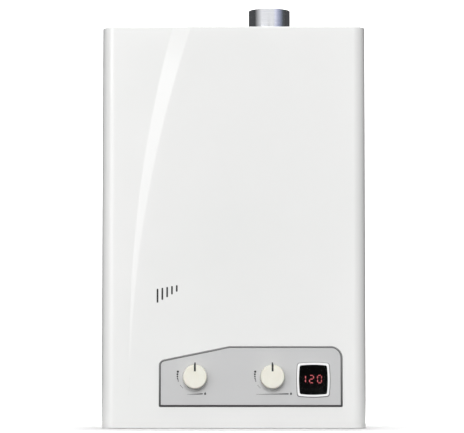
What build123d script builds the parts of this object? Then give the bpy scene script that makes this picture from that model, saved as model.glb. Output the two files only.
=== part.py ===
"""Wall-hung tankless gas water heater, as the separate pieces that it comes apart into.

+Z is up and the front faces -Y. The origin lies under the middle of the heater, in the plane
that the casing's bottom rim stands on. All sizes are in millimetres and angles in degrees.
"""

import os
from math import cos, radians, sin

from build123d import *

os.makedirs("parts", exist_ok=True)

# Casing: a folded and stamped front cover over a flat chassis
case_width = 377.4
case_height = 575.0
case_depth = 152.0  # from the chassis's rear face to the cover's front plane
sheet = 1.0
corner_radius = 18.0
rim_width = 16.0  # the cover's return flange at the bottom
cover_setback = 2.0  # the cover's rear edges stop this far from the wall
slip = 0.25  # clearance between folded sheets that slide over each other
chassis_flange = 24.0
chassis_lift = 3.0

# Stamped crease: a band that widens towards the top, left of which the front leans back
crease_foot_inset = 38.7  # from the cover's left side
crease_foot_z = 45.0
crease_top_inset = 127.7
crease_band = 28.5
crease_depth = 6.0

# Openings in the cover
view_slot_count = 5
view_slot_width = 2.4
view_slot_inset = 80.1  # first slot, from the left side
view_slot_pitch = 6.85
view_slot_bottom = 178.0
view_slot_length = 20.0
view_slot_bottom_rise = 3.9  # from one slot to the next
view_slot_top_rise = 1.3
view_window_margin = 10.0  # of the dark plate behind the slots
view_window_thickness = 0.8
louvre_count = 6
louvre_length = 64.0
louvre_width = 4.0
louvre_pitch = 10.0
louvre_bottom = 150.0

# Wall fixing holes in the chassis
wall_hole_radius = 4.0
wall_hole_inset_x = 48.7  # from the casing's side
wall_hole_bottom = 75.0
wall_hole_inset_top = 60.0

# Control panel
panel_centre_x = 24.2
panel_width = 261.4
panel_bottom = 29.7
panel_height = 86.7
panel_flat_width = 161.2  # level part of the top edge
panel_shoulder_drop = 20.5
panel_corner_radius = 17.0
panel_shoulder_radius = 9.0
panel_foot_radius = 2.0
panel_proud = 3.0
panel_lap = 7.0
panel_skirt = 8.0
panel_wall = 2.0
panel_edge = 0.7
trim_width = 2.8
trim_proud = 2.0

# Control knobs and their spindles
knob_spacing = 110.0
knob_z = 72.6
knob_radius = 17.6
knob_face_radius = 16.6
knob_height = 15.0
knob_gap = 0.6
knob_wall = 2.2
knob_edge = 1.8
knob_hub_radius = 6.0
flute_count = 30
flute_radius = 0.7
pointer_width = 2.7
pointer_length = 9.0
pointer_proud = 0.3
spindle_radius = 3.0
spindle_flat = 2.2  # from the spindle's axis to its flat
shaft_clearance = 0.05
panel_hole_clearance = 1.5

# Temperature display
display_x = 113.1
display_z = 68.4
display_width = 46.8
display_height = 48.6
display_bulge = 1.3
display_corner = 4.0
display_frame_width = 2.9
display_frame_proud = 2.2
window_thickness = 2.0
window_recess = 0.6
digit_height = 11.4
digit_width = 6.0
digit_pitch = 12.2
digit_z_offset = 1.0
segment_width = 1.35
segment_gap = 0.35
segment_depth = 0.2
led_module_depth = 7.0
board_thickness = 1.6
board_margin = 5.0

# Flue
flue_x = 52.0
flue_radius = 30.0
flue_wall = 0.8
flue_height = 31.0
flue_shoulder = 0.6  # step that a vent pipe stops on, just above the casing
flue_flange_radius = 40.0
flue_clearance = 1.5
gasket_radius = 38.0
gasket_height = 6.0

# Bottom plate and its connections
bottom_plate_z = 36.0
bottom_plate_flange = 14.0
bottom_plate_gap = 1.5
thread_radius = 10.48
thread_length = 20.0
hex_across_flats = 27.0
hex_thickness = 9.0
fitting_bore = 7.0
shank_radius = 9.0
socket_depth = 8.0
hot_pipe_gap = 30.0  # from the stack's side to the hot pipe's middle
air_slot_length = 26.0
air_slot_width = 4.0
air_slot_pitch = 9.0
gland_inset = 48.7  # from the casing's side
gland_y = 40.0
gland_radius = 9.0
gland_bore = 4.0
drain_gap = 45.0  # from the cold connection
drain_radius = 7.0
drain_length = 14.0

# Burner, exchanger and hood: one stack on the chassis
stack_width = 220.0
stack_front_gap = 34.0  # behind the cover's front plane
stack_rear_gap = 17.0
stack_head_gap = 30.0
burner_z = 125.0
burner_height = 55.0
hood_height = 150.0
stack_flange = 8.0
copper_sheet = 0.8
bar_count = 9
bar_width = 14.0
bar_neck = 6.0
bar_head_height = 26.0
bar_throat_z = 16.0  # above the burner's bottom edge
bar_throat_radius = 6.0
bar_bore = 4.0
bar_slit_count = 7
bar_slit_width = 1.6
bar_slit_depth = 6.0
manifold_size = 16.0
manifold_overhang = 10.0
nozzle_radius = 2.8
nozzle_length = 4.0
fin_count = 28
fin_thickness = 0.5
fin_margin = 7.0
fin_height = 50.0
fin_head_gap = 10.0  # under the exchanger's top edge
tube_radius = 7.0
tube_wall = 1.0
tube_bend = 11.0
tube_fit = 0.2
tube_row_count = 4
tube_overhang = 12.0
coil_low = 0.2  # of the exchanger's height
coil_rise = 0.14
coil_bend = 12.0
coil_stand_off = 8.8  # from the shell to the coil's centre line
hot_pipe_shelf_z = 112.0

# Exhaust fan
fan_z = 75.0  # above the hood's bottom edge
wheel_radius = 44.0
wheel_width = 36.0
blade_count = 26
blade_length = 10.0
blade_thickness = 1.0
wheel_plate = 1.2
wheel_hub_radius = 9.0
wheel_side_gap = 6.0
volute_depth = 50.0
volute_inlet_radius = 33.0
volute_base_radius = 52.0
volute_growth = 9.0  # from one quarter of the spiral to the next
motor_radius = 33.0
motor_length = 26.0
motor_flange_radius = 42.0
motor_flange = 2.0
shaft_radius = 3.0

# Gas and water valves
valve_setback = 15.0  # from the cover's front plane to the valve bodies
valve_depth = 56.0
valve_height = 56.0
gas_valve_width = 60.0
water_valve_width = 44.0
valve_edge = 4.0
boss_radius = 13.0
bush_radius = 9.0
bush_length = 5.0
spindle_bore_depth = 22.0
solenoid_radius = 12.0
solenoid_length = 32.0
feed_pipe_radius = 8.0
chamber_radius = 31.0
chamber_thickness = 13.0
chamber_cavity_radius = 24.0
chamber_cavity_depth = 7.0
outlet_length = 10.0
rod_radius = 2.5
rod_head_radius = 11.0
rod_head_thickness = 2.0
rod_collar_radius = 6.5
rod_collar_thickness = 3.0
rod_travel = 3.0
rod_entry = 12.0
switch_depth = 12.0
switch_height = 16.0
lever_arm = 16.0
lever_thickness = 0.8
lever_width = 6.0
lever_pin_radius = 1.0
lever_knuckle_radius = 1.9
touch_gap = 0.3  # between moving parts that push on each other

# Electrical pieces on the chassis and the burner
controller_depth = 40.0
controller_height = 120.0
side_gap = 6.0  # left free beside the pieces next to the stack
controller_z = 250.0
transformer_height = 44.0
transformer_depth = 35.0
transformer_z = 100.0
pressure_switch_depth = 20.0
pressure_switch_level = 65.0  # above the hood's bottom edge
nipple_radius = 3.0
electrode_spacing = 40.0
electrode_z = 14.0  # above the exchanger's bottom edge
electrode_radius = 3.2
electrode_length = 30.0
electrode_reach = 14.0
electrode_tip_radius = 1.0
electrode_tip_length = 22.0
electrode_plate = 1.2
thermostat_radius = 8.0
thermostat_thickness = 7.0
screw_radius = 2.0
screw_head_radius = 3.8
screw_head_height = 2.2
screw_length = 6.0

# Planes and places that follow from the sizes above
reach = panel_proud + knob_gap + knob_height + pointer_proud  # of the knobs in front of the cover
front_y = (reach - case_depth) / 2
wall_y = front_y + case_depth
half_width = case_width / 2
chassis_half = half_width - sheet - slip
chassis_face_y = wall_y - sheet
plate_top = bottom_plate_z + sheet
panel_left = panel_centre_x - panel_width / 2
panel_right = panel_centre_x + panel_width / 2
panel_top = panel_bottom + panel_height
panel_face_y = front_y - panel_proud
knob_base_y = panel_face_y - knob_gap
knob_face_y = knob_base_y - knob_height
gas_x = -knob_spacing / 2
water_x = knob_spacing / 2
valve_front_y = front_y + valve_setback
valve_y = valve_front_y + valve_depth / 2
valve_bottom = knob_z - valve_height / 2
valve_top = knob_z + valve_height / 2
stack_rear_y = chassis_face_y - stack_rear_gap
stack_front_y = front_y + stack_front_gap
stack_depth = stack_rear_y - stack_front_y
stack_y = (stack_front_y + stack_rear_y) / 2
stack_half = stack_width / 2
exchanger_z = burner_z + burner_height
hood_top = case_height - stack_head_gap
hood_z = hood_top - hood_height
exchanger_height = hood_z - exchanger_z
wheel_z = hood_z + fan_z
volute_front_y = stack_front_y + sheet
flue_y = volute_front_y + volute_depth / 2
manifold_y = stack_front_y - manifold_size / 2
throat_z = burner_z + bar_throat_z
tube_z = hood_z - fin_head_gap - fin_height / 2
tube_pitch = stack_depth / tube_row_count
tube_rows = [stack_front_y + tube_pitch * (row + 0.5) for row in range(tube_row_count)]
gas_valve_right = gas_x + gas_valve_width / 2
water_valve_left = water_x - water_valve_width / 2
chamber_split_x = water_valve_left - chamber_thickness
chamber_left = chamber_split_x - chamber_thickness
tube_turn_x = stack_half + tube_overhang
hot_x = -stack_half - hot_pipe_gap
gland_x = half_width - gland_inset
drain_x = water_x + drain_gap
side_space = chassis_half - sheet - tube_turn_x - tube_radius
side_middle_x = tube_turn_x + tube_radius + side_space / 2
controller_width = side_space - 2 * side_gap
pressure_switch_radius = side_space / 2 - side_gap
pressure_switch_z = hood_z + pressure_switch_level

middle_min = (Align.CENTER, Align.MIN)


def keep(builder, name):
    """Names a finished piece and writes it."""
    builder.part.label = name
    export_step(builder.part, f"parts/{name}.step")


def facing_front(y):
    """Plane whose sketches are drawn in X and Z and extrude towards the front."""
    return Plane(origin=(0, y, 0), x_dir=(1, 0, 0), z_dir=(0, -1, 0))


def facing_right(x):
    """Plane whose sketches are drawn in Y and Z and extrude towards +X."""
    return Plane(origin=(x, 0, 0), x_dir=(0, 1, 0), z_dir=(1, 0, 0))


def ring(outer, inner):
    """Flat ring in the sketch that is being drawn."""
    Circle(outer)
    Circle(inner, mode=Mode.SUBTRACT)


# Front cover


def cover_form(inset):
    """Outer form of the front cover, or with an inset of one sheet the hollow inside it.

    The front stands upright right of the crease. Left of it, above the crease's foot, it
    leans back along an arc, and the slanted band between the two widens towards the top.
    """
    half = half_width - inset
    face_y = front_y + inset
    top = case_height - inset
    rear_y = wall_y - cover_setback
    overcut = 2 * sheet
    lead = overcut * crease_band / crease_depth
    foot_x = crease_foot_inset - half_width + lead
    head_x = crease_top_inset - half_width + lead
    with BuildPart() as left_of_crease:
        with BuildSketch(facing_front(face_y - overcut)):
            with BuildLine():
                crease = TangentArc((foot_x, crease_foot_z), (head_x, case_height), tangent=(0, 1))
                Polyline(
                    crease @ 1,
                    (head_x, case_height + overcut),
                    (-half_width - overcut, case_height + overcut),
                    (-half_width - overcut, crease_foot_z),
                    crease @ 0,
                )
            make_face()
        band = Vector(-crease_band, crease_depth, 0)
        extrude(amount=band.length * (overcut / crease_depth + 1), dir=band.normalized())
    with BuildPart() as upright:
        with BuildSketch():
            with Locations((0, face_y)):
                Rectangle(2 * half, rear_y - face_y, align=middle_min)
        extrude(amount=top)
        add(left_of_crease.part, mode=Mode.SUBTRACT)
    with BuildPart() as form:
        with BuildSketch(facing_right(-half)):
            with BuildLine():
                lean = TangentArc((face_y, crease_foot_z), (face_y + crease_depth, top), tangent=(0, 1))
                Polyline(lean @ 1, (rear_y, top), (rear_y, 0), (face_y, 0), lean @ 0)
            make_face()
        extrude(amount=2 * half)
        add(upright.part)
        side_edges = form.faces().filter_by(Axis.X).edges()
        front_limit = face_y + crease_depth + slip
        front_edges = side_edges.filter_by(lambda edge: edge.bounding_box().max.Y <= front_limit)
        fillet(front_edges, corner_radius - inset)
    return form.part


def plan_outline(inset):
    """The casing's plan with its rounded front corners, in the sketch that is being drawn."""
    depth = wall_y - cover_setback - front_y - inset
    with Locations((0, front_y + inset)):
        Rectangle(2 * (half_width - inset), depth, align=middle_min)


def panel_outline(inset):
    """Outline of the control panel, drawn in X and Z, with its sloping left shoulder."""
    with BuildSketch(mode=Mode.PRIVATE) as outline:
        with BuildLine():
            Polyline(
                (panel_left, panel_bottom),
                (panel_right, panel_bottom),
                (panel_right, panel_top),
                (panel_right - panel_flat_width, panel_top),
                (panel_left, panel_top - panel_shoulder_drop),
                close=True,
            )
        make_face()
        corners = outline.vertices()
        fillet(corners.sort_by(Axis.Y)[:2], panel_foot_radius)
        fillet(outline.vertices().sort_by_distance((panel_right, panel_top))[0], panel_corner_radius)
        shoulder = outline.vertices().sort_by_distance((panel_left, panel_top - panel_shoulder_drop))[0]
        fillet(shoulder, panel_shoulder_radius)
        if inset:
            offset(amount=-inset)
    add(outline.sketch)


view_slots = [
    (
        view_slot_inset - half_width + index * view_slot_pitch,
        view_slot_bottom + index * view_slot_bottom_rise,
        view_slot_bottom + view_slot_length + index * view_slot_top_rise,
    )
    for index in range(view_slot_count)
]
cover_screw_y = wall_y - chassis_flange / 2
cover_screw_levels = (case_height * 0.2, case_height * 0.8)

with BuildPart() as front_cover:
    add(cover_form(0))
    add(cover_form(sheet), mode=Mode.SUBTRACT)
    with BuildSketch() as rim:
        plan_outline(0)
        fillet(rim.vertices().group_by(Axis.Y)[0], corner_radius)
        with BuildSketch(mode=Mode.PRIVATE) as rim_opening:
            plan_outline(rim_width)
            with Locations((0, wall_y - rim_width)):
                Rectangle(2 * (half_width - rim_width), rim_width, align=middle_min)
        add(rim_opening.sketch, mode=Mode.SUBTRACT)
    extrude(amount=sheet)
    with BuildSketch(facing_front(front_y - sheet)):
        panel_outline(panel_lap)
        for x, bottom, top in view_slots:
            with Locations((x, (bottom + top) / 2)):
                SlotOverall(top - bottom, view_slot_width, rotation=90)
    extrude(amount=-3 * sheet, mode=Mode.SUBTRACT)
    with BuildSketch(Plane.XY.offset(case_height - 2 * sheet)):
        with Locations((flue_x, flue_y)):
            Circle(flue_radius + flue_clearance)
    extrude(amount=3 * sheet, mode=Mode.SUBTRACT)
    with BuildSketch(facing_right(-half_width - sheet)):
        with Locations((stack_y, louvre_bottom + louvre_pitch * (louvre_count - 1) / 2)):
            with GridLocations(0, louvre_pitch, 1, louvre_count):
                SlotOverall(louvre_length, louvre_width)
        for z in cover_screw_levels:
            with Locations((cover_screw_y, z)):
                Circle(screw_radius + slip)
    extrude(amount=case_width + 2 * sheet, mode=Mode.SUBTRACT)
keep(front_cover, "front_cover")

# Dark plate behind the viewing slots, riveted to the inside of the cover

view_window_width = (view_slot_count - 1) * view_slot_pitch + 2 * view_window_margin
view_window_low = view_slot_bottom - view_window_margin / 2
view_window_high = view_slots[-1][2] + view_window_margin / 2
view_window_x = (view_slots[0][0] + view_slots[-1][0]) / 2
with BuildPart() as view_window:
    with BuildSketch(facing_front(front_y + sheet)):
        with Locations((view_window_x, (view_window_low + view_window_high) / 2)):
            RectangleRounded(view_window_width, view_window_high - view_window_low, view_window_margin / 3)
    extrude(amount=-view_window_thickness)
    with BuildSketch(facing_front(front_y + sheet + view_window_thickness)):
        with Locations((view_window_x, (view_window_low + view_window_high) / 2)):
            with GridLocations(view_window_width - view_window_margin, 0, 2, 1):
                Circle(screw_radius)
    extrude(amount=-sheet)
keep(view_window, "view_window")

# Rear chassis: back plate with folded sides and top

chassis_top = case_height - sheet - slip
plate_screw_x = chassis_half * 0.6
plate_screw_z = plate_top + bottom_plate_flange / 2
with BuildPart() as rear_chassis:
    with BuildSketch(Plane.XY.offset(chassis_lift)):
        with Locations((0, wall_y)):
            Rectangle(2 * chassis_half, chassis_flange, align=(Align.CENTER, Align.MAX))
    extrude(amount=chassis_top - chassis_lift)
    with BuildSketch(Plane.XY.offset(chassis_lift)):
        with Locations((0, chassis_face_y)):
            Rectangle(2 * (chassis_half - sheet), chassis_flange, align=(Align.CENTER, Align.MAX))
    extrude(amount=chassis_top - chassis_lift - sheet, mode=Mode.SUBTRACT)
    with BuildSketch(facing_front(wall_y)):
        for x in (wall_hole_inset_x - half_width, half_width - wall_hole_inset_x):
            with Locations((x, wall_hole_bottom), (x, case_height - wall_hole_inset_top)):
                Circle(wall_hole_radius)
    extrude(amount=2 * sheet, mode=Mode.SUBTRACT)
    with BuildSketch(facing_right(-half_width)):
        for z in cover_screw_levels:
            with Locations((cover_screw_y, z)):
                Circle(screw_radius + shaft_clearance)
    extrude(amount=case_width, mode=Mode.SUBTRACT)
    with BuildSketch(facing_front(wall_y)):
        for x in (-plate_screw_x, plate_screw_x):
            with Locations((x, plate_screw_z)):
                Circle(screw_radius + shaft_clearance)
    extrude(amount=2 * sheet, mode=Mode.SUBTRACT)
keep(rear_chassis, "rear_chassis")

# Screws: a domed head on a plain shank


def screws(places, length):
    """Pan-head screws of one length, one at each location, with their heads along its Z."""
    with BuildPart() as one:
        with BuildSketch(Plane.XZ):
            with BuildLine():
                dome = ThreePointArc(
                    (0, screw_head_height),
                    (screw_head_radius * cos(radians(50)), screw_head_height * sin(radians(60))),
                    (screw_head_radius, 0),
                )
                Polyline(
                    dome @ 1,
                    (screw_radius, 0),
                    (screw_radius, -length),
                    (0, -length),
                    dome @ 0,
                )
            make_face()
        revolve(axis=Axis.Z)
    with BuildPart() as group:
        for place in places:
            add(one.part.moved(place))
    return group


def side_screw_places():
    for side in (-1, 1):
        for z in cover_screw_levels:
            yield Plane(origin=(side * half_width, cover_screw_y, z), z_dir=(side, 0, 0)).location


keep(screws(side_screw_places(), screw_length), "cover_screws")

# Bottom plate

fitting_places = {"hot_outlet_fitting": hot_x, "gas_inlet_fitting": gas_x, "cold_inlet_fitting": water_x}
plate_front_y = front_y + panel_skirt + bottom_plate_gap
plate_half = chassis_half - sheet - slip
with BuildPart() as bottom_plate:
    with BuildSketch(Plane.XY.offset(bottom_plate_z)) as plate_plan:
        with Locations((0, chassis_face_y)):
            Rectangle(2 * plate_half, chassis_face_y - plate_front_y, align=(Align.CENTER, Align.MAX))
        fillet(plate_plan.vertices().group_by(Axis.Y)[0], corner_radius)
        for x in fitting_places.values():
            with Locations((x, valve_y)):
                Circle(shank_radius + slip, mode=Mode.SUBTRACT)
        with Locations((gland_x, gland_y)):
            Circle(gland_radius, mode=Mode.SUBTRACT)
        with Locations((drain_x, valve_y)):
            Circle(drain_radius + slip, mode=Mode.SUBTRACT)
        with Locations((0, stack_y)):
            with GridLocations(air_slot_pitch, 1.3 * air_slot_length, 17, 2):
                SlotOverall(air_slot_length, air_slot_width, rotation=90, mode=Mode.SUBTRACT)
    extrude(amount=sheet)
    with BuildSketch(Plane.XY.offset(plate_top)):
        with Locations((0, chassis_face_y)):
            Rectangle(2 * plate_half, sheet, align=(Align.CENTER, Align.MAX))
    extrude(amount=bottom_plate_flange)
    with BuildSketch(facing_front(chassis_face_y)):
        for x in (-plate_screw_x, plate_screw_x):
            with Locations((x, plate_screw_z)):
                Circle(screw_radius + shaft_clearance)
    extrude(amount=2 * sheet, mode=Mode.SUBTRACT)
keep(bottom_plate, "bottom_plate")

# Control panel with its dark trim

with BuildPart() as panel_trim:
    with BuildSketch(facing_front(front_y)):
        panel_outline(0)
        with BuildSketch(mode=Mode.PRIVATE) as trim_opening:
            panel_outline(trim_width)
        add(trim_opening.sketch, mode=Mode.SUBTRACT)
    extrude(amount=trim_proud)
keep(panel_trim, "panel_trim")


def display_outline(inset):
    """Screen-shaped outline with bowed sides and rounded corners, in X and Z."""
    half_x = display_width / 2 - display_bulge - inset
    half_z = display_height / 2 - display_bulge - inset
    with BuildSketch(mode=Mode.PRIVATE) as outline:
        with BuildLine():
            corners = [(-half_x, -half_z), (half_x, -half_z), (half_x, half_z), (-half_x, half_z)]
            for start, end in zip(corners, corners[1:] + corners[:1]):
                SagittaArc(start, end, -display_bulge)
        make_face()
        fillet(outline.vertices(), display_corner - inset / 2)
    with Locations((display_x, display_z)):
        add(outline.sketch)


with BuildPart() as control_panel:
    with BuildSketch(facing_front(front_y)):
        panel_outline(trim_width)
    extrude(amount=panel_proud)
    fillet(control_panel.faces().sort_by(Axis.Y)[0].edges(), panel_edge)
    with BuildSketch(facing_front(front_y)):
        panel_outline(panel_lap + slip)
        with BuildSketch(mode=Mode.PRIVATE) as skirt_opening:
            panel_outline(panel_lap + slip + panel_wall)
        add(skirt_opening.sketch, mode=Mode.SUBTRACT)
    extrude(amount=-panel_skirt)
    with BuildSketch(facing_front(panel_face_y)):
        with Locations((gas_x, knob_z), (water_x, knob_z)):
            Circle(spindle_radius + panel_hole_clearance)
        display_outline(display_frame_width)
    extrude(amount=-panel_proud, mode=Mode.SUBTRACT)
keep(control_panel, "control_panel")

# Display: frame, dark window, lit digits, light module and its board

window_face_y = panel_face_y - display_frame_proud + window_recess
window_rear_y = window_face_y + window_thickness
module_face_y = window_rear_y + segment_depth
board_y = module_face_y + led_module_depth
with BuildPart() as display_frame:
    with BuildSketch(facing_front(panel_face_y)):
        display_outline(0)
        with BuildSketch(mode=Mode.PRIVATE) as frame_opening:
            display_outline(display_frame_width)
        add(frame_opening.sketch, mode=Mode.SUBTRACT)
    extrude(amount=display_frame_proud)
    fillet(display_frame.faces().sort_by(Axis.Y)[0].outer_wire().edges(), panel_edge)
keep(display_frame, "display_frame")

with BuildPart() as display_window:
    with BuildSketch(facing_front(window_rear_y)):
        display_outline(display_frame_width + shaft_clearance)
    extrude(amount=window_thickness)
keep(display_window, "display_window")

# Lit segments of each figure, as (column, row) of the segment's middle in half figures
upright_segments = {"b": (1, 0.5), "c": (1, -0.5), "e": (-1, -0.5), "f": (-1, 0.5)}
level_segments = {"a": (0, 1), "g": (0, 0), "d": (0, -1)}
lit_figures = ("bc", "abged", "abcdef")
display_digits_x = display_x - digit_width / 2
display_digits_z = display_z + digit_z_offset
with BuildPart() as led_digits:
    with BuildSketch(facing_front(module_face_y)):
        for index, lit in enumerate(lit_figures):
            figure_x = display_digits_x + (index - 1) * digit_pitch
            for name in lit:
                column, row = {**upright_segments, **level_segments}[name]
                upright_one = name in upright_segments
                length = (digit_height / 2 if upright_one else digit_width) - segment_width - 2 * segment_gap
                place = (figure_x + column * digit_width / 2, display_digits_z + row * digit_height / 2)
                with Locations(place):
                    Rectangle(length, segment_width, rotation=90 if upright_one else 0)
    extrude(amount=segment_depth)
keep(led_digits, "led_digits")

with BuildPart() as display_board:
    with BuildSketch(facing_front(board_y)):
        display_outline(display_frame_width + panel_wall)
    extrude(amount=led_module_depth)
    with BuildSketch(facing_front(board_y)):
        with Locations((display_x, display_z)):
            Rectangle(display_width + board_margin, display_height + board_margin)
    extrude(amount=-board_thickness)
    with BuildSketch(facing_front(board_y)):
        with Locations((display_x, display_z)):
            with GridLocations(display_width, display_height, 2, 2):
                Circle(screw_radius)
    extrude(amount=board_y - front_y)
keep(display_board, "display_board")

# Control knobs

bush_face_y = valve_front_y - bush_length
spindle_front_y = knob_face_y + knob_wall + slip


def knob(x, name):
    """Fluted knob with its black pointer, and the flatted spindle that it sits on."""
    axis = Axis((x, 0, knob_z), (0, 1, 0))
    slot_top = knob_z + knob_radius + pointer_proud
    pointer_size = pointer_length + knob_radius - knob_face_radius + pointer_proud
    with BuildPart() as body:
        with BuildSketch(Plane(origin=(x, 0, knob_z), x_dir=(1, 0, 0), z_dir=(0, 0, 1))):
            with BuildLine():
                Polyline(
                    (0, knob_face_y),
                    (knob_face_radius, knob_face_y),
                    (knob_radius, knob_base_y),
                    (knob_radius - knob_wall, knob_base_y),
                    (knob_face_radius - knob_wall, knob_face_y + knob_wall),
                    (knob_hub_radius, knob_face_y + knob_wall),
                    (knob_hub_radius, knob_base_y),
                    (0, knob_base_y),
                    close=True,
                )
            make_face()
        revolve(axis=axis)
        fillet(body.faces().sort_by(Axis.Y)[0].edges(), knob_edge)
        with BuildSketch(facing_front(knob_base_y)):
            with Locations((x, knob_z)):
                with PolarLocations(knob_radius + flute_radius / 2, flute_count, start_angle=90):
                    Circle(flute_radius)
        extrude(amount=knob_height - 2 * knob_edge, mode=Mode.SUBTRACT)
        with BuildSketch(facing_front(knob_face_y + knob_wall / 2)):
            with Locations((x, slot_top)):
                Rectangle(pointer_width, pointer_size, align=(Align.CENTER, Align.MAX))
        extrude(amount=knob_wall, mode=Mode.SUBTRACT)
        with BuildSketch(facing_front(knob_base_y)):
            with Locations((x, knob_z)):
                spindle_section(shaft_clearance)
        extrude(amount=knob_height - knob_wall, mode=Mode.SUBTRACT)
    keep(body, f"{name}_knob")
    with BuildPart() as pointer:
        with BuildSketch(facing_front(knob_face_y + knob_wall / 2)):
            with Locations((x, slot_top)):
                Rectangle(pointer_width, pointer_size, align=(Align.CENTER, Align.MAX))
        extrude(amount=knob_wall / 2 + pointer_proud)
    keep(pointer, f"{name}_knob_pointer")
    with BuildPart() as spindle:
        with BuildSketch(facing_front(knob_base_y)):
            with Locations((x, knob_z)):
                spindle_section(0)
        extrude(amount=knob_base_y - spindle_front_y)
        with BuildSketch(facing_front(bush_face_y + spindle_bore_depth - slip)):
            with Locations((x, knob_z)):
                Circle(spindle_radius)
        extrude(amount=bush_face_y + spindle_bore_depth - slip - knob_base_y)
    keep(spindle, f"{name}_spindle")


def spindle_section(clearance):
    """Round section with one flat, facing down."""
    flat = spindle_flat + clearance
    with BuildSketch(mode=Mode.PRIVATE) as section:
        Circle(spindle_radius + clearance)
        with Locations((0, -flat)):
            side = 4 * spindle_radius
            Rectangle(side, side, align=(Align.CENTER, Align.MAX), mode=Mode.SUBTRACT)
    add(section.sketch)


knob(gas_x, "gas")
knob(water_x, "water")

# Pipe connections under the bottom plate

fitting_end_z = bottom_plate_z - hex_thickness - thread_length
for name, x in fitting_places.items():
    with BuildPart() as fitting:
        with BuildSketch(Plane(origin=(x, valve_y, fitting_end_z))):
            Circle(thread_radius)
        extrude(amount=thread_length)
        chamfer(fitting.faces().sort_by(Axis.Z)[0].edges(), fitting_bore / 6)
        with BuildSketch(Plane(origin=(x, valve_y, bottom_plate_z - hex_thickness))):
            RegularPolygon(hex_across_flats / 2, 6, major_radius=False)
        extrude(amount=hex_thickness)
        with BuildSketch(Plane(origin=(x, valve_y, bottom_plate_z))):
            Circle(shank_radius)
        extrude(amount=sheet + socket_depth)
        with BuildSketch(Plane(origin=(x, valve_y, fitting_end_z))):
            Circle(fitting_bore)
        extrude(amount=thread_length + hex_thickness + sheet + socket_depth, mode=Mode.SUBTRACT)
    keep(fitting, name)

# Gas valve: cast body with bosses, two solenoids, feed pipe to the manifold

outlet_boss_height = 6.0
with BuildPart() as gas_valve_body:
    with BuildSketch(Plane.XY.offset(valve_bottom)):
        with Locations((gas_x, valve_y)):
            Rectangle(gas_valve_width, valve_depth)
    extrude(amount=valve_height)
    fillet(gas_valve_body.edges().filter_by(Axis.Z), valve_edge)
    with BuildSketch(Plane(origin=(gas_x, valve_y, plate_top))):
        Circle(boss_radius)
    extrude(amount=valve_bottom - plate_top)
    with BuildSketch(Plane(origin=(gas_x, manifold_y, valve_top))):
        Circle(feed_pipe_radius + panel_wall)
    extrude(amount=outlet_boss_height)
    with BuildSketch(facing_front(valve_front_y)):
        with Locations((gas_x, knob_z)):
            Circle(bush_radius)
    extrude(amount=bush_length)
    with BuildSketch(facing_front(bush_face_y)):
        with Locations((gas_x, knob_z)):
            Circle(spindle_radius + shaft_clearance)
    extrude(amount=-spindle_bore_depth, mode=Mode.SUBTRACT)
    with BuildSketch(Plane(origin=(gas_x, valve_y, plate_top))):
        Circle(shank_radius + shaft_clearance)
    extrude(amount=socket_depth, mode=Mode.SUBTRACT)
    with BuildSketch(facing_right(gas_valve_right)):
        with Locations((valve_y, knob_z)):
            Circle(rod_radius + shaft_clearance)
    extrude(amount=-rod_entry - rod_travel - slip, mode=Mode.SUBTRACT)
keep(gas_valve_body, "gas_valve_body")

with BuildPart() as gas_solenoids:
    for y in (valve_y - valve_depth / 4, valve_y + valve_depth / 4):
        with BuildSketch(facing_right(gas_x - gas_valve_width / 2)):
            with Locations((y, knob_z)):
                Circle(solenoid_radius)
        extrude(amount=-solenoid_length)
    fillet(gas_solenoids.faces().group_by(Axis.X)[0].edges(), panel_wall)
keep(gas_solenoids, "gas_solenoids")

manifold_bottom = throat_z - manifold_size / 2
with BuildPart() as gas_feed_pipe:
    with BuildSketch(Plane(origin=(gas_x, manifold_y, valve_top + outlet_boss_height))):
        ring(feed_pipe_radius, feed_pipe_radius - panel_wall)
    extrude(amount=manifold_bottom - valve_top - outlet_boss_height)
keep(gas_feed_pipe, "gas_feed_pipe")

# Burner: manifold with nozzles, box and flame bars

bar_pitch = (stack_width - 2 * sheet) / bar_count
bar_places = [(index - (bar_count - 1) / 2) * bar_pitch for index in range(bar_count)]
with BuildPart() as gas_manifold:
    with BuildSketch(facing_right(-stack_half + manifold_overhang)):
        with Locations((manifold_y, throat_z)):
            RectangleRounded(manifold_size, manifold_size, panel_wall)
    extrude(amount=stack_width - 2 * manifold_overhang)
    with BuildSketch(facing_right(-stack_half + manifold_overhang + panel_wall)):
        with Locations((manifold_y, throat_z)):
            Rectangle(manifold_size - 2 * panel_wall, manifold_size - 2 * panel_wall)
    extrude(amount=stack_width - 2 * manifold_overhang - 2 * panel_wall, mode=Mode.SUBTRACT)
    with BuildSketch(Plane(origin=(gas_x, manifold_y, manifold_bottom))):
        Circle(feed_pipe_radius - panel_wall)
    extrude(amount=manifold_size / 2, mode=Mode.SUBTRACT)
keep(gas_manifold, "gas_manifold")

with BuildPart() as gas_nozzles:
    with BuildSketch(facing_front(stack_front_y)):
        for x in bar_places:
            with Locations((x, throat_z)):
                Circle(nozzle_radius)
    extrude(amount=-nozzle_length)
keep(gas_nozzles, "gas_nozzles")


def stack_box(z, height, wall):
    """Walls of one box of the stack, open at the bottom and the top."""
    with BuildPart() as walls:
        with BuildSketch(Plane(origin=(0, stack_y, z))):
            Rectangle(stack_width, stack_depth)
            Rectangle(stack_width - 2 * wall, stack_depth - 2 * wall, mode=Mode.SUBTRACT)
        extrude(amount=height)
    return walls.part


def stack_flanges(z, wall):
    """Flanges along the front and rear edges of a box, growing up from z."""
    with BuildPart() as flanges:
        with BuildSketch(Plane(origin=(0, stack_y, z))):
            for side, align in ((-1, Align.MAX), (1, Align.MIN)):
                with Locations((0, side * stack_depth / 2)):
                    Rectangle(stack_width - 2 * stack_flange, stack_flange, align=(Align.CENTER, align))
        extrude(amount=wall)
    return flanges.part


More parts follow.
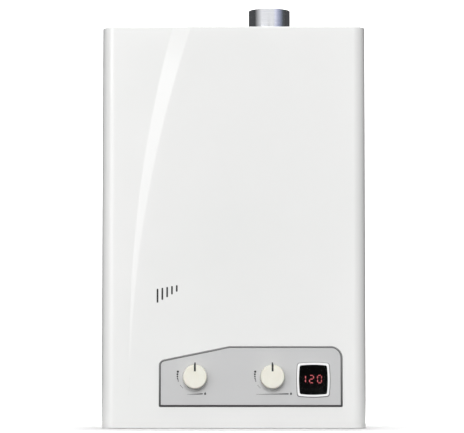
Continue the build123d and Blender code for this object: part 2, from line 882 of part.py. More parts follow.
with BuildPart() as burner_box:
    add(stack_box(burner_z, burner_height, sheet))
    add(stack_flanges(exchanger_z - sheet, sheet))
    with BuildSketch(facing_front(stack_front_y)):
        for x in bar_places:
            with Locations((x, throat_z)):
                Circle(bar_bore)
    extrude(amount=-sheet, mode=Mode.SUBTRACT)
keep(burner_box, "burner_box")

bar_length = stack_depth - 2 * sheet
bar_head_top = burner_height - panel_wall
bar_head_bottom = bar_head_top - bar_head_height


def bar_sections(inset):
    """Keyhole sections of all flame bars in X and Z: throat, neck and head."""
    neck_height = bar_head_bottom - bar_throat_z + 2 * inset
    for x in bar_places:
        with Locations((x, burner_z)):
            with Locations((0, bar_throat_z)):
                Circle(bar_throat_radius - inset)
                Rectangle(bar_neck - 2 * inset, neck_height, align=middle_min)
            with Locations((0, bar_head_bottom + inset)):
                Rectangle(bar_width - 2 * inset, bar_head_height - 2 * inset, align=middle_min)


with BuildPart() as burner_bars:
    with BuildSketch(facing_front(stack_rear_y - sheet)):
        bar_sections(0)
    extrude(amount=bar_length)
    with BuildSketch(facing_front(stack_rear_y - 2 * sheet)):
        bar_sections(sheet)
    extrude(amount=bar_length, mode=Mode.SUBTRACT)
    slit_pitch = bar_length / (bar_slit_count + 1)
    with BuildSketch(Plane(origin=(0, stack_y, burner_z + bar_head_top))):
        with GridLocations(0, slit_pitch, 1, bar_slit_count):
            Rectangle(stack_width, bar_slit_width)
    extrude(amount=-bar_slit_depth, mode=Mode.SUBTRACT)
keep(burner_bars, "burner_bars")

# Heat exchanger: copper shell, fins, coil round the shell and tubes through the fins

electrode_places = (-electrode_spacing / 2, electrode_spacing / 2)
electrode_level = exchanger_z + electrode_z
with BuildPart() as exchanger_shell:
    add(stack_box(exchanger_z, exchanger_height, copper_sheet))
    add(stack_flanges(exchanger_z, copper_sheet))
    add(stack_flanges(hood_z - copper_sheet, copper_sheet))
    with BuildSketch(facing_right(-stack_half)):
        for y in tube_rows:
            with Locations((y, tube_z)):
                Circle(tube_radius + tube_fit)
    extrude(amount=stack_width, mode=Mode.SUBTRACT)
    with BuildSketch(facing_front(stack_front_y)):
        for x in electrode_places:
            with Locations((x, electrode_level)):
                Circle(electrode_radius + tube_fit)
    extrude(amount=-copper_sheet, mode=Mode.SUBTRACT)
keep(exchanger_shell, "exchanger_shell")

fin_depth = stack_depth - 2 * copper_sheet - 2 * tube_fit
fin_pitch = (stack_width - 2 * fin_margin) / (fin_count - 1)
with BuildPart() as exchanger_fins:
    for index in range(fin_count):
        fin_x = (index - (fin_count - 1) / 2) * fin_pitch - fin_thickness / 2
        with BuildSketch(facing_right(fin_x)):
            with Locations((stack_y, tube_z)):
                Rectangle(fin_depth, fin_height)
            for y in tube_rows:
                with Locations((y, tube_z)):
                    Circle(tube_radius + tube_fit, mode=Mode.SUBTRACT)
        extrude(amount=fin_thickness)
keep(exchanger_fins, "exchanger_fins")


def tube_along(points, radius, bend, bore):
    """Tube with its bore, swept along straight runs joined by tangent arcs."""
    with BuildPart() as tube:
        with BuildLine() as path:
            FilletPolyline(*points, radius=bend)
        with BuildSketch(Plane(origin=path.line @ 0, z_dir=path.line % 0)):
            ring(radius, bore)
        sweep()
    return tube


side_x = stack_half + coil_stand_off
coil_front_y = stack_front_y - coil_stand_off
coil_rear_y = stack_rear_y + coil_stand_off
coil_first_z = exchanger_z + coil_low * exchanger_height
coil_second_z = coil_first_z + coil_rise * exchanger_height
coil_third_z = coil_second_z + coil_rise * exchanger_height
coil_end_z = (coil_third_z + tube_z) / 2
water_outlet_x = water_x + water_valve_width / 2 + outlet_length
inlet_coil = tube_along(
    [
        (water_outlet_x, valve_y, knob_z),
        (side_x, valve_y, knob_z),
        (side_x, valve_y, coil_first_z),
        (side_x, coil_rear_y, coil_first_z),
        (-side_x, coil_rear_y, coil_first_z),
        (-side_x, coil_front_y, coil_second_z),
        (side_x, coil_front_y, coil_second_z),
        (side_x, coil_rear_y, coil_second_z),
        (-side_x, coil_rear_y, coil_second_z),
        (-tube_turn_x, tube_rows[0], coil_third_z),
        (-tube_turn_x, tube_rows[0], coil_end_z),
    ],
    tube_radius,
    coil_bend,
    tube_radius - tube_wall,
)
keep(inlet_coil, "inlet_coil")

serpentine = [(-tube_turn_x, tube_rows[0], coil_end_z), (-tube_turn_x, tube_rows[0], tube_z)]
for row, y in enumerate(tube_rows[:-1]):
    turn_x = tube_turn_x if row % 2 == 0 else -tube_turn_x
    serpentine += [(turn_x, y, tube_z), (turn_x, tube_rows[row + 1], tube_z)]
hot_start_x = -side_x
serpentine.append((hot_start_x, tube_rows[-1], tube_z))
exchanger_tubes = tube_along(serpentine, tube_radius, tube_bend, tube_radius - tube_wall)
keep(exchanger_tubes, "exchanger_tubes")

hot_pipe = tube_along(
    [
        (hot_start_x, tube_rows[-1], tube_z),
        (hot_x, tube_rows[-1], tube_z),
        (hot_x, tube_rows[-1], hot_pipe_shelf_z),
        (hot_x, valve_y, hot_pipe_shelf_z),
        (hot_x, valve_y, plate_top + socket_depth),
    ],
    tube_radius,
    coil_bend,
    tube_radius - tube_wall,
)
keep(hot_pipe, "hot_pipe")

# Exhaust hood with the fan inside it and the flue collar on top

motor_screw_circle = (motor_radius + motor_flange_radius) / 2
with BuildPart() as exhaust_hood:
    add(stack_box(hood_z, hood_height, sheet))
    add(stack_flanges(hood_z, sheet))
    with BuildSketch(Plane(origin=(0, stack_y, hood_top - sheet))):
        Rectangle(stack_width, stack_depth)
    extrude(amount=sheet)
    with BuildSketch(Plane(origin=(flue_x, flue_y, hood_top - sheet))):
        Circle(flue_radius - flue_wall)
    extrude(amount=sheet, mode=Mode.SUBTRACT)
    with BuildSketch(facing_front(stack_front_y)):
        with Locations((0, wheel_z)):
            Circle(wheel_hub_radius)
            with PolarLocations(motor_screw_circle, 4, start_angle=45):
                Circle(screw_radius + shaft_clearance)
    extrude(amount=-sheet, mode=Mode.SUBTRACT)
keep(exhaust_hood, "exhaust_hood")

duct_left = flue_x - flue_radius + flue_wall
duct_right = flue_x + flue_radius - flue_wall


def volute_outline(inset):
    """Spiral that opens into an upright duct, in X and Z; the inset leaves the duct open."""
    radii = [volute_base_radius + volute_growth * quarter - inset for quarter in range(4)]
    top = hood_top - sheet
    with BuildSketch(mode=Mode.PRIVATE) as outline:
        with BuildLine():
            start = (duct_left + inset, wheel_z + radii[0] - volute_growth / 2)
            over = TangentArc(start, (-radii[1], wheel_z), tangent=(-1, 0.2))
            under = TangentArc(over @ 1, (0, wheel_z - radii[2]), tangent=over % 1)
            rise = TangentArc(under @ 1, (duct_right - inset, wheel_z), tangent=under % 1)
            Polyline(rise @ 1, (duct_right - inset, top), (duct_left + inset, top), over @ 0)
        make_face()
    add(outline.sketch)


with BuildPart() as fan_volute:
    with BuildSketch(facing_front(volute_front_y)):
        volute_outline(0)
    extrude(amount=-volute_depth)
    with BuildSketch(facing_front(volute_front_y + sheet)):
        volute_outline(sheet)
    extrude(amount=2 * sheet - volute_depth, mode=Mode.SUBTRACT)
    with BuildSketch(facing_front(volute_front_y)):
        with Locations((0, wheel_z)):
            Circle(wheel_hub_radius)
            with PolarLocations(motor_screw_circle, 4, start_angle=45):
                Circle(screw_radius + shaft_clearance)
    extrude(amount=-sheet, mode=Mode.SUBTRACT)
    with BuildSketch(facing_front(volute_front_y + volute_depth)):
        with Locations((0, wheel_z)):
            Circle(volute_inlet_radius)
    extrude(amount=sheet, mode=Mode.SUBTRACT)
keep(fan_volute, "fan_volute")

wheel_front_y = volute_front_y + sheet + wheel_side_gap
blade_inner = wheel_radius - blade_length
with BuildPart() as fan_wheel:
    with BuildSketch(facing_front(wheel_front_y)):
        with Locations((0, wheel_z)):
            ring(wheel_radius, shaft_radius + shaft_clearance)
    extrude(amount=-wheel_plate)
    with BuildSketch(facing_front(wheel_front_y)):
        with Locations((0, wheel_z)):
            ring(wheel_hub_radius - 1, shaft_radius + shaft_clearance)
    extrude(amount=-wheel_width / 2)
    with BuildSketch(facing_front(wheel_front_y + wheel_width)):
        with Locations((0, wheel_z)):
            ring(wheel_radius, blade_inner)
    extrude(amount=wheel_plate)
    with BuildSketch(facing_front(wheel_front_y)):
        with BuildSketch(mode=Mode.PRIVATE) as blade:
            with BuildLine():
                inner_edge = (blade_inner + blade_thickness, 0)
                outer_edge = (wheel_radius - blade_thickness, -blade_length / 3)
                hollow = SagittaArc(inner_edge, outer_edge, blade_length / 5)
                back = (blade_inner + blade_thickness, blade_thickness)
                crown = (wheel_radius - blade_thickness, blade_thickness - blade_length / 3)
                Line(hollow @ 1, crown)
                SagittaArc(crown, back, -blade_length / 5)
                Line(back, inner_edge)
            make_face()
        with Locations((0, wheel_z)):
            with PolarLocations(0, blade_count):
                add(blade.sketch)
    extrude(amount=-wheel_width)
keep(fan_wheel, "fan_wheel")

motor_face_y = stack_front_y - motor_flange - motor_length
shaft_front_y = motor_face_y + motor_length / 3
with BuildPart() as fan_shaft:
    with BuildSketch(facing_front(wheel_front_y + wheel_width / 2)):
        with Locations((0, wheel_z)):
            Circle(shaft_radius)
    extrude(amount=wheel_front_y + wheel_width / 2 - shaft_front_y)
keep(fan_shaft, "fan_shaft")

with BuildPart() as fan_motor:
    with BuildSketch(facing_front(stack_front_y)):
        with Locations((0, wheel_z)):
            Circle(motor_flange_radius)
    extrude(amount=motor_flange)
    with BuildSketch(facing_front(stack_front_y - motor_flange)):
        with Locations((0, wheel_z)):
            Circle(motor_radius)
    extrude(amount=motor_length)
    fillet(fan_motor.faces().sort_by(Axis.Y)[0].edges(), valve_edge)
    with BuildSketch(facing_front(stack_front_y)):
        with Locations((0, wheel_z)):
            Circle(shaft_radius + shaft_clearance)
    extrude(amount=stack_front_y - shaft_front_y + slip, mode=Mode.SUBTRACT)
    with BuildSketch(facing_front(stack_front_y)):
        with Locations((0, wheel_z)):
            with PolarLocations(motor_screw_circle, 4, start_angle=45):
                Circle(screw_radius + shaft_clearance)
    extrude(amount=motor_flange, mode=Mode.SUBTRACT)
keep(fan_motor, "fan_motor")

with BuildPart() as flue_collar:
    with BuildSketch(Plane(origin=(flue_x, flue_y, hood_top))):
        ring(flue_flange_radius, flue_radius - flue_wall)
    extrude(amount=sheet)
    with BuildSketch(Plane(origin=(flue_x, flue_y, hood_top))):
        ring(flue_radius, flue_radius - flue_wall)
    extrude(amount=case_height + flue_height - hood_top)
    with BuildSketch(Plane(origin=(flue_x, flue_y, hood_top))):
        ring(flue_radius + flue_shoulder, flue_radius - flue_wall)
    extrude(amount=case_height + sheet - hood_top)
    fillet(flue_collar.faces().sort_by(Axis.Z)[-1].edges(), flue_wall / 3)
keep(flue_collar, "flue_collar")

with BuildPart() as flue_gasket:
    with BuildSketch(Plane(origin=(flue_x, flue_y, case_height - sheet))):
        ring(gasket_radius, flue_radius + flue_shoulder + shaft_clearance)
    extrude(amount=-gasket_height)
keep(flue_gasket, "flue_gasket")

# Channel brackets that carry the stack on the chassis

bracket_width = stack_width * 0.7
bracket_height = 20.0
bracket_levels = (burner_z + burner_height / 2, coil_end_z, hood_z + hood_height * 0.8)
with BuildPart() as stack_brackets:
    for z in bracket_levels:
        with BuildSketch(facing_right(-bracket_width / 2)):
            with Locations((chassis_face_y - stack_rear_gap / 2, z)):
                Rectangle(stack_rear_gap, bracket_height)
                with Locations((0, -sheet)):
                    Rectangle(stack_rear_gap - 2 * sheet, bracket_height, mode=Mode.SUBTRACT)
        extrude(amount=bracket_width)
keep(stack_brackets, "stack_brackets")

# Water valve: body, diaphragm cover, push rod to the gas valve, flow switch

diaphragm_screw_circle = (chamber_radius + chamber_cavity_radius) / 2
with BuildPart() as water_valve_body:
    with BuildSketch(Plane.XY.offset(valve_bottom)):
        with Locations((water_x, valve_y)):
            Rectangle(water_valve_width, valve_depth)
    extrude(amount=valve_height)
    fillet(water_valve_body.edges().filter_by(Axis.Z), 2 * valve_edge)
    with BuildSketch(Plane(origin=(water_x, valve_y, plate_top))):
        Circle(boss_radius)
    extrude(amount=valve_bottom - plate_top)
    with BuildSketch(facing_front(valve_front_y)):
        with Locations((water_x, knob_z)):
            Circle(bush_radius)
    extrude(amount=bush_length)
    with BuildSketch(facing_right(chamber_split_x)):
        with Locations((valve_y, knob_z)):
            Circle(chamber_radius)
    extrude(amount=chamber_thickness)
    with BuildSketch(facing_right(water_x)):
        with Locations((valve_y, knob_z)):
            Circle(boss_radius)
    extrude(amount=water_outlet_x - water_x)
    with BuildSketch(facing_front(bush_face_y)):
        with Locations((water_x, knob_z)):
            Circle(spindle_radius + shaft_clearance)
    extrude(amount=-spindle_bore_depth, mode=Mode.SUBTRACT)
    with BuildSketch(Plane(origin=(water_x, valve_y, plate_top))):
        Circle(shank_radius + shaft_clearance)
    extrude(amount=socket_depth, mode=Mode.SUBTRACT)
    with BuildSketch(facing_right(chamber_split_x)):
        with Locations((valve_y, knob_z)):
            with PolarLocations(diaphragm_screw_circle, 6, start_angle=30):
                Circle(screw_radius + shaft_clearance)
    extrude(amount=screw_length + slip, mode=Mode.SUBTRACT)
keep(water_valve_body, "water_valve_body")

with BuildPart() as diaphragm_cover:
    with BuildSketch(facing_right(chamber_left)):
        with Locations((valve_y, knob_z)):
            Circle(chamber_radius)
    extrude(amount=chamber_thickness)
    fillet(diaphragm_cover.faces().sort_by(Axis.X)[0].edges(), panel_wall)
    with BuildSketch(facing_right(chamber_left)):
        with Locations((valve_y, knob_z)):
            Circle(boss_radius)
    extrude(amount=-panel_wall)
    with BuildSketch(facing_right(chamber_split_x)):
        with Locations((valve_y, knob_z)):
            Circle(chamber_cavity_radius)
    extrude(amount=-chamber_cavity_depth, mode=Mode.SUBTRACT)
    with BuildSketch(facing_right(chamber_split_x)):
        with Locations((valve_y, knob_z)):
            Circle(rod_radius + shaft_clearance)
            with PolarLocations(diaphragm_screw_circle, 6, start_angle=30):
                Circle(screw_radius + shaft_clearance)
    extrude(amount=-2 * chamber_thickness, mode=Mode.SUBTRACT)
keep(diaphragm_cover, "diaphragm_cover")

rod_left = gas_valve_right - rod_entry
rod_right = chamber_split_x - touch_gap
collar_left = chamber_left - panel_wall - 2 * rod_collar_thickness
with BuildPart() as push_rod:
    with BuildSketch(facing_right(rod_left)):
        with Locations((valve_y, knob_z)):
            Circle(rod_radius)
    extrude(amount=rod_right - rod_left)
    with BuildSketch(facing_right(rod_right)):
        with Locations((valve_y, knob_z)):
            Circle(rod_head_radius)
    extrude(amount=-rod_head_thickness)
    with BuildSketch(facing_right(collar_left)):
        with Locations((valve_y, knob_z)):
            Circle(rod_collar_radius)
    extrude(amount=rod_collar_thickness)
keep(push_rod, "push_rod")

lever_x = collar_left - touch_gap - lever_thickness / 2
lever_z = knob_z + (rod_radius + rod_collar_radius) / 2 + lever_arm
ear_thickness = 1.5
ear_gap = lever_width / 2 + slip
switch_right = lever_x - lever_knuckle_radius - 2 * touch_gap
with BuildPart() as micro_switch:
    with BuildSketch(Plane.XY.offset(lever_z - switch_height / 2)):
        with Locations((gas_valve_right, valve_y)):
            Rectangle(switch_right - gas_valve_right, switch_depth, align=(Align.MIN, Align.CENTER))
    extrude(amount=switch_height)
    for side in (-1, 1):
        with BuildSketch(facing_front(valve_y + side * (ear_gap + ear_thickness / 2) + ear_thickness / 2)):
            with Locations((lever_x, lever_z)):
                Circle(lever_knuckle_radius)
                Rectangle(lever_x - switch_right, 2 * lever_knuckle_radius, align=(Align.MAX, Align.CENTER))
        extrude(amount=ear_thickness)
    with BuildSketch(facing_front(valve_y + ear_gap)):
        with Locations((lever_x, lever_z)):
            Circle(lever_pin_radius)
    extrude(amount=2 * ear_gap)
keep(micro_switch, "micro_switch")

with BuildPart() as switch_lever:
    with BuildSketch(facing_front(valve_y + lever_width / 2)):
        with Locations((lever_x, lever_z)):
            Circle(lever_knuckle_radius)
            Rectangle(lever_thickness, lever_arm + touch_gap, align=(Align.CENTER, Align.MAX))
            Circle(lever_pin_radius + shaft_clearance, mode=Mode.SUBTRACT)
    extrude(amount=lever_width)
keep(switch_lever, "switch_lever")

# Drain plug and cable gland in the bottom plate

with BuildPart() as drain_plug:
    with BuildSketch(Plane(origin=(drain_x, valve_y, bottom_plate_z - drain_length))):
        Circle(drain_radius)
    extrude(amount=drain_length + sheet)
    with BuildSketch(Plane(origin=(drain_x, valve_y, bottom_plate_z - hex_thickness))):
        RegularPolygon(hex_across_flats * 0.37, 6, major_radius=False)
    extrude(amount=hex_thickness)
    with BuildSketch(Plane(origin=(drain_x, valve_y, bottom_plate_z - drain_length))):
        Rectangle(2 * drain_radius, panel_wall)
    extrude(amount=panel_wall, mode=Mode.SUBTRACT)
keep(drain_plug, "drain_plug")

with BuildPart() as cable_gland:
    with BuildSketch(Plane(origin=(gland_x, gland_y, bottom_plate_z - 4 * sheet))):
        ring(gland_radius + 3 * sheet, gland_bore)
    extrude(amount=4 * sheet)
    with BuildSketch(Plane(origin=(gland_x, gland_y, bottom_plate_z))):
        ring(gland_radius - shaft_clearance, gland_bore)
    extrude(amount=sheet)
    with BuildSketch(Plane(origin=(gland_x, gland_y, plate_top))):
        ring(gland_radius + 2 * sheet, gland_bore)
    extrude(amount=3 * sheet)
keep(cable_gland, "cable_gland")

# Electrical pieces

with BuildPart() as controller_box:
    with BuildSketch(Plane(origin=(side_middle_x, chassis_face_y, controller_z))):
        Rectangle(controller_width, controller_depth, align=(Align.CENTER, Align.MAX))
    extrude(amount=controller_height)
    fillet(controller_box.faces().sort_by(Axis.Y)[0].edges(), panel_wall)
    with BuildSketch(facing_front(chassis_face_y - controller_depth)):
        with Locations((side_middle_x, controller_z + controller_height / 2)):
            with GridLocations(0, controller_height / 8, 1, 6):
                SlotOverall(controller_width * 0.7, panel_wall)
    extrude(amount=-panel_wall, mode=Mode.SUBTRACT)
keep(controller_box, "controller_box")

with BuildPart() as transformer:
    with BuildSketch(Plane(origin=(side_middle_x, chassis_face_y, transformer_z))):
        Rectangle(controller_width, transformer_depth, align=(Align.CENTER, Align.MAX))
    extrude(amount=transformer_height)
    with BuildSketch(facing_front(chassis_face_y - transformer_depth)):
        with Locations((side_middle_x, transformer_z + transformer_height / 2)):
            Rectangle(controller_width * 0.6, transformer_height * 0.7)
    extrude(amount=panel_wall * 3)
    fillet(transformer.faces().sort_by(Axis.Y)[0].edges(), panel_wall)
keep(transformer, "transformer")

switch_face_y = chassis_face_y - pressure_switch_depth
with BuildPart() as pressure_switch:
    with BuildSketch(facing_front(chassis_face_y)):
        with Locations((-side_middle_x, pressure_switch_z)):
            Circle(pressure_switch_radius)
    extrude(amount=pressure_switch_depth)
    fillet(pressure_switch.faces().sort_by(Axis.Y)[0].edges(), panel_wall)
    with BuildSketch(facing_front(switch_face_y)):
        with Locations((-side_middle_x, pressure_switch_z)):
            Circle(nipple_radius)
    extrude(amount=panel_wall * 4)
keep(pressure_switch, "pressure_switch")

with BuildPart() as thermostat:
    with BuildSketch(facing_right(-stack_half)):
        with Locations((tube_rows[2], coil_third_z + tube_radius)):
            Circle(thermostat_radius)
    extrude(amount=-thermostat_thickness)
keep(thermostat, "thermostat")

plate_face_y = stack_front_y - electrode_plate
electrode_front_y = plate_face_y - electrode_length + electrode_reach
with BuildPart() as electrode_bracket:
    with BuildSketch(facing_front(stack_front_y)):
        with Locations((0, electrode_level)):
            RectangleRounded(electrode_spacing * 1.7, 4 * electrode_radius, panel_wall)
        for x in electrode_places:
            with Locations((x, electrode_level)):
                Circle(electrode_radius + shaft_clearance, mode=Mode.SUBTRACT)
    extrude(amount=electrode_plate)
keep(electrode_bracket, "electrode_bracket")

with BuildPart() as electrode_insulators:
    for x in electrode_places:
        with BuildSketch(facing_front(electrode_front_y + electrode_length)):
            with Locations((x, electrode_level)):
                ring(electrode_radius, electrode_tip_radius)
        extrude(amount=electrode_length)
keep(electrode_insulators, "electrode_insulators")

with BuildPart() as electrode_tips:
    for x in electrode_places:
        with BuildSketch(facing_front(electrode_front_y + electrode_length + electrode_tip_length)):
            with Locations((x, electrode_level)):
                Circle(electrode_tip_radius)
        extrude(amount=electrode_length + electrode_tip_length)
keep(electrode_tips, "electrode_tips")

# Remaining screws


def motor_screw_places():
    for quarter in range(4):
        turn = radians(45 + 90 * quarter)
        x = motor_screw_circle * cos(turn)
        z = wheel_z + motor_screw_circle * sin(turn)
        yield Plane(origin=(x, stack_front_y - motor_flange, z), z_dir=(0, -1, 0)).location


keep(screws(motor_screw_places(), screw_length), "motor_screws")


def plate_screw_places():
    for x in (-plate_screw_x, plate_screw_x):
        yield Plane(origin=(x, chassis_face_y - sheet, plate_screw_z), z_dir=(0, -1, 0)).location


keep(screws(plate_screw_places(), 2 * sheet), "bottom_plate_screws")


def diaphragm_screw_places():
    for sixth in range(6):
        turn = radians(60 * sixth + 30)
        y = valve_y + diaphragm_screw_circle * cos(turn)
        z = knob_z + diaphragm_screw_circle * sin(turn)
        yield Plane(origin=(chamber_left, y, z), z_dir=(-1, 0, 0)).location


keep(screws(diaphragm_screw_places(), chamber_thickness + screw_length), "diaphragm_screws")
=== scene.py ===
# %% [markdown]
# # A wall-hung gas water heater, dressed for a studio picture
# The solids come from the imported part, in metres: the front looks towards -Y and the
# top towards +Z. They could be modelled again here, but loading them keeps every size
# as the part has it, so this lesson adds only softened edges, a thin ring of painted
# shade, printed marks, finishes and a small studio.

# %% Load the imported solids
import math

import bmesh
import bpy
from mathutils import Matrix, Vector


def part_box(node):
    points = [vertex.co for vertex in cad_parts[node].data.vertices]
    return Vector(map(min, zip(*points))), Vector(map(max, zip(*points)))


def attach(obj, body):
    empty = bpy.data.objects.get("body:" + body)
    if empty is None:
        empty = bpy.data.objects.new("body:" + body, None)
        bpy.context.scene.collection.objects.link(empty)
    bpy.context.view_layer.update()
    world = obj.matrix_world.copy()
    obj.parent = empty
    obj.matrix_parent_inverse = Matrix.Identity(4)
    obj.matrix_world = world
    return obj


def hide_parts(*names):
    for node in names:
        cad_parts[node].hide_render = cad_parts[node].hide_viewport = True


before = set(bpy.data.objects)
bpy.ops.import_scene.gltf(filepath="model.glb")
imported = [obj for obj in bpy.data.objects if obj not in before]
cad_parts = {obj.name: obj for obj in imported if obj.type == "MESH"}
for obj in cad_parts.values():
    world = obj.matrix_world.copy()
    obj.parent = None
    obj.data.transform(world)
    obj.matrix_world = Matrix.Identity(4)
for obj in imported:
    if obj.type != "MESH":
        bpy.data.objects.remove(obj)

scene = bpy.context.scene
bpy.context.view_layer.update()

# %% [markdown]
# ## The camera
# The picture is frontal, yet the case narrows a little towards its top and the collar's
# rim bulges upwards, so the lens was low and tipped up by about four degrees. A shifted
# lens would keep the sides parallel. A plain aim gives that slight taper. The point that
# it aims at and the width that it takes in are pixels of the picture, put into metres.

# %% Camera at the picture's angle
picture_wide = 464
metres_a_pixel = 0.001429
aim_right_pixels = -1.7
aim_up_pixels = 210.8
stand_back = 3.5
stand_below = 0.2563
front_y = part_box("front_cover")[0][1]


def looking(start, target):
    return (Vector(target) - Vector(start)).to_track_quat("-Z", "Y").to_euler()


aim = Vector((aim_right_pixels * metres_a_pixel, front_y, aim_up_pixels * metres_a_pixel))
stand = aim + Vector((0.0, -stand_back, -stand_below))
lens = bpy.data.cameras.new("studio_lens")
lens.sensor_width = 36.0
lens.lens = lens.sensor_width * (aim - stand).length / (picture_wide * metres_a_pixel)
lens.clip_end = 60.0
camera = bpy.data.objects.new("studio_camera", lens)
camera.location = stand
camera.rotation_euler = looking(stand, aim)
scene.collection.objects.link(camera)
scene.camera = camera
scene.view_settings.view_transform = "Standard"
print("lens", round(lens.lens, 1), "mm, camera height", round(stand.z, 3))

# %% [markdown]
# ## Making pieces
# Every new piece goes through the same steps: a bmesh becomes a mesh and the mesh an
# object at the origin. What belongs to the part also takes its finish and rides on a
# body. Written out for each piece, these steps would hide its shape, so a helper has them.

# %% Helper for new pieces
finishes = {}


def new_piece(bm, name, body=None, slot=None):
    mesh = bpy.data.meshes.new(name)
    bm.to_mesh(mesh)
    bm.free()
    piece = bpy.data.objects.new(name, mesh)
    scene.collection.objects.link(piece)
    if body:
        mesh.materials.append(finishes[slot])
        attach(piece, body)
    print(name, "faces:", len(mesh.polygons))
    return piece


# %% [markdown]
# ## Floor and backdrop
# A product studio uses one sweep of pale paper, so no line shows where floor meets wall.
# Two crossed planes would leave that line. One edge is drawn along the floor, and a
# second piece carries on from it: spun up through a quarter turn and drawn upwards. The
# wall is kept out of reflections, because it would turn the polished collar all white,
# and neither throws light back on the case, whose shading then comes from the lamps.

# %% Floor of the sweep
sweep_half = 12.0
sweep_front = -9.0
sweep_start = 3.0
floor_z = -0.0006


def edge_across(bm, y):
    ends = [bm.verts.new((side * sweep_half, y, floor_z)) for side in (-1.0, 1.0)]
    return bm.edges.new(ends)


def corners_of(made):
    return [item for item in made if isinstance(item, bmesh.types.BMVert)]


def draw_out(bm, edges, way):
    drawn = bmesh.ops.extrude_edge_only(bm, edges=edges)["geom"]
    bmesh.ops.translate(bm, verts=corners_of(drawn), vec=way)
    bmesh.ops.recalc_face_normals(bm, faces=bm.faces[:])


bm = bmesh.new()
draw_out(bm, [edge_across(bm, sweep_front)], (0.0, sweep_start - sweep_front, 0.0))
paper_floor = new_piece(bm, "paper_floor")

# %% Wall of the sweep
sweep_turn = 1.6
wall_rise = 6.0

bm = bmesh.new()
first = edge_across(bm, sweep_start)
spun = bmesh.ops.spin(
    bm, geom=[first, *first.verts], cent=(0.0, sweep_start, floor_z + sweep_turn),
    axis=(1.0, 0.0, 0.0), angle=math.radians(90.0), steps=24,
)["geom_last"]
highest = [item for item in spun if isinstance(item, bmesh.types.BMEdge)]
draw_out(bm, highest, (0.0, 0.0, wall_rise))
for face in bm.faces:
    face.smooth = True
paper_wall = new_piece(bm, "paper_wall")
paper_wall.visible_glossy = False
for sheet in (paper_floor, paper_wall):
    sheet.visible_diffuse = False

# %% [markdown]
# ## Studio light
# The white front is evenly lit, the left upright stays pale, the right one falls to grey
# and the shade of the knobs lies under them: a high box from the front, a key from the
# left, a low strip that lifts the foot and a trace of fill from the right. One lamp would
# give hard edges. Boxes above and behind light the top and the back. The air of the room
# is pale for shading and dark in reflections, so the polished collar keeps its dark sides.
# Of the front lamps the key and two faint glows show in gloss: the key lights up the
# slanted band of the crease and the left upright, a glow beside it lifts the top of both,
# and one from the right pales the front there.

# %% Room
def join(output, socket):
    output.id_data.links.new(output, socket)


room = bpy.data.worlds.new("studio_room")
room.use_nodes = True
room_nodes = room.node_tree.nodes
room_nodes.clear()
room_out = room_nodes.new("ShaderNodeOutputWorld")
room_mix = room_nodes.new("ShaderNodeMixShader")
room_path = room_nodes.new("ShaderNodeLightPath")
pale_air = room_nodes.new("ShaderNodeBackground")
pale_air.inputs["Color"].default_value = (1.0, 1.0, 1.0, 1.0)
pale_air.inputs["Strength"].default_value = 0.20
dark_air = room_nodes.new("ShaderNodeBackground")
dark_air.inputs["Color"].default_value = (0.96, 0.98, 1.0, 1.0)
dark_air.inputs["Strength"].default_value = 0.085
join(room_path.outputs["Is Glossy Ray"], room_mix.inputs["Fac"])
# The two shader inputs of a mix share one name, so they are taken by number.
join(pale_air.outputs["Background"], room_mix.inputs[1])
join(dark_air.outputs["Background"], room_mix.inputs[2])
join(room_mix.outputs["Shader"], room_out.inputs["Surface"])
scene.world = room
for air in (pale_air, dark_air):
    print("air:", round(air.inputs["Strength"].default_value, 3))

# %% Lamps
def soft_box(name, place, towards, wide, high, watts, in_gloss=False):
    lamp = bpy.data.lights.new(name, "AREA")
    lamp.shape = "RECTANGLE"
    lamp.size = wide
    lamp.size_y = high
    lamp.energy = watts
    box = bpy.data.objects.new(name, lamp)
    box.location = place
    box.rotation_euler = looking(place, towards)
    box.visible_camera = False
    box.visible_glossy = in_gloss
    scene.collection.objects.link(box)
    print(name, watts, "W")


case_middle = (0.0, 0.0, 0.35)
case_foot = (0.0, 0.0, 0.1)
case_back = (0.0, 0.0, 0.3)
floor_behind = (0.0, 0.5, 0.0)

soft_box("high_box", (-0.2, -8.6, 3.6), case_middle, wide=3.4, high=2.6, watts=446.0)
soft_box(
    "left_key", (-1.42, -2.67, 0.65), case_middle, wide=2.2, high=1.8, watts=24.0,
    in_gloss=True,
)
soft_box(
    "crease_glow", (-1.8, -2.5, 1.3), case_middle, wide=0.9, high=0.8, watts=5.5,
    in_gloss=True,
)
soft_box("low_strip", (0.0, -0.75, 0.1), case_foot, wide=1.6, high=0.12, watts=0.15)
soft_box("right_fill", (2.8, -1.6, 1.0), case_middle, wide=1.0, high=1.6, watts=5.0)
soft_box(
    "right_glow", (0.78, -3.4, 0.5), case_middle, wide=0.9, high=1.6, watts=7.0,
    in_gloss=True,
)
soft_box(
    "top_box", (0.0, 0.5, 3.6), floor_behind, wide=1.2, high=3.2, watts=90.0,
    in_gloss=True,
)
soft_box("rear_box", (0.0, 2.6, 1.9), case_back, wide=1.2, high=1.4, watts=45.0)

# %% [markdown]
# ## A small screen for the collar
# The collar mirrors what stands in front of it: white in the middle, fading to dark on
# the left, and a cool lavender before the dark on the right. Lamps would show in it as
# hard patches. A photographer would bend a card round it, just out of the picture, and
# so does this cell: an upright edge spun about the collar's axis, seen only in gloss,
# with a ramp round that axis for its tones.

# %% Bent card round the collar
card_radius = 0.5
card_low = 0.635
card_high = 0.86


def middle_of(node):
    low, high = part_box(node)
    return (Vector(low) + Vector(high)) / 2


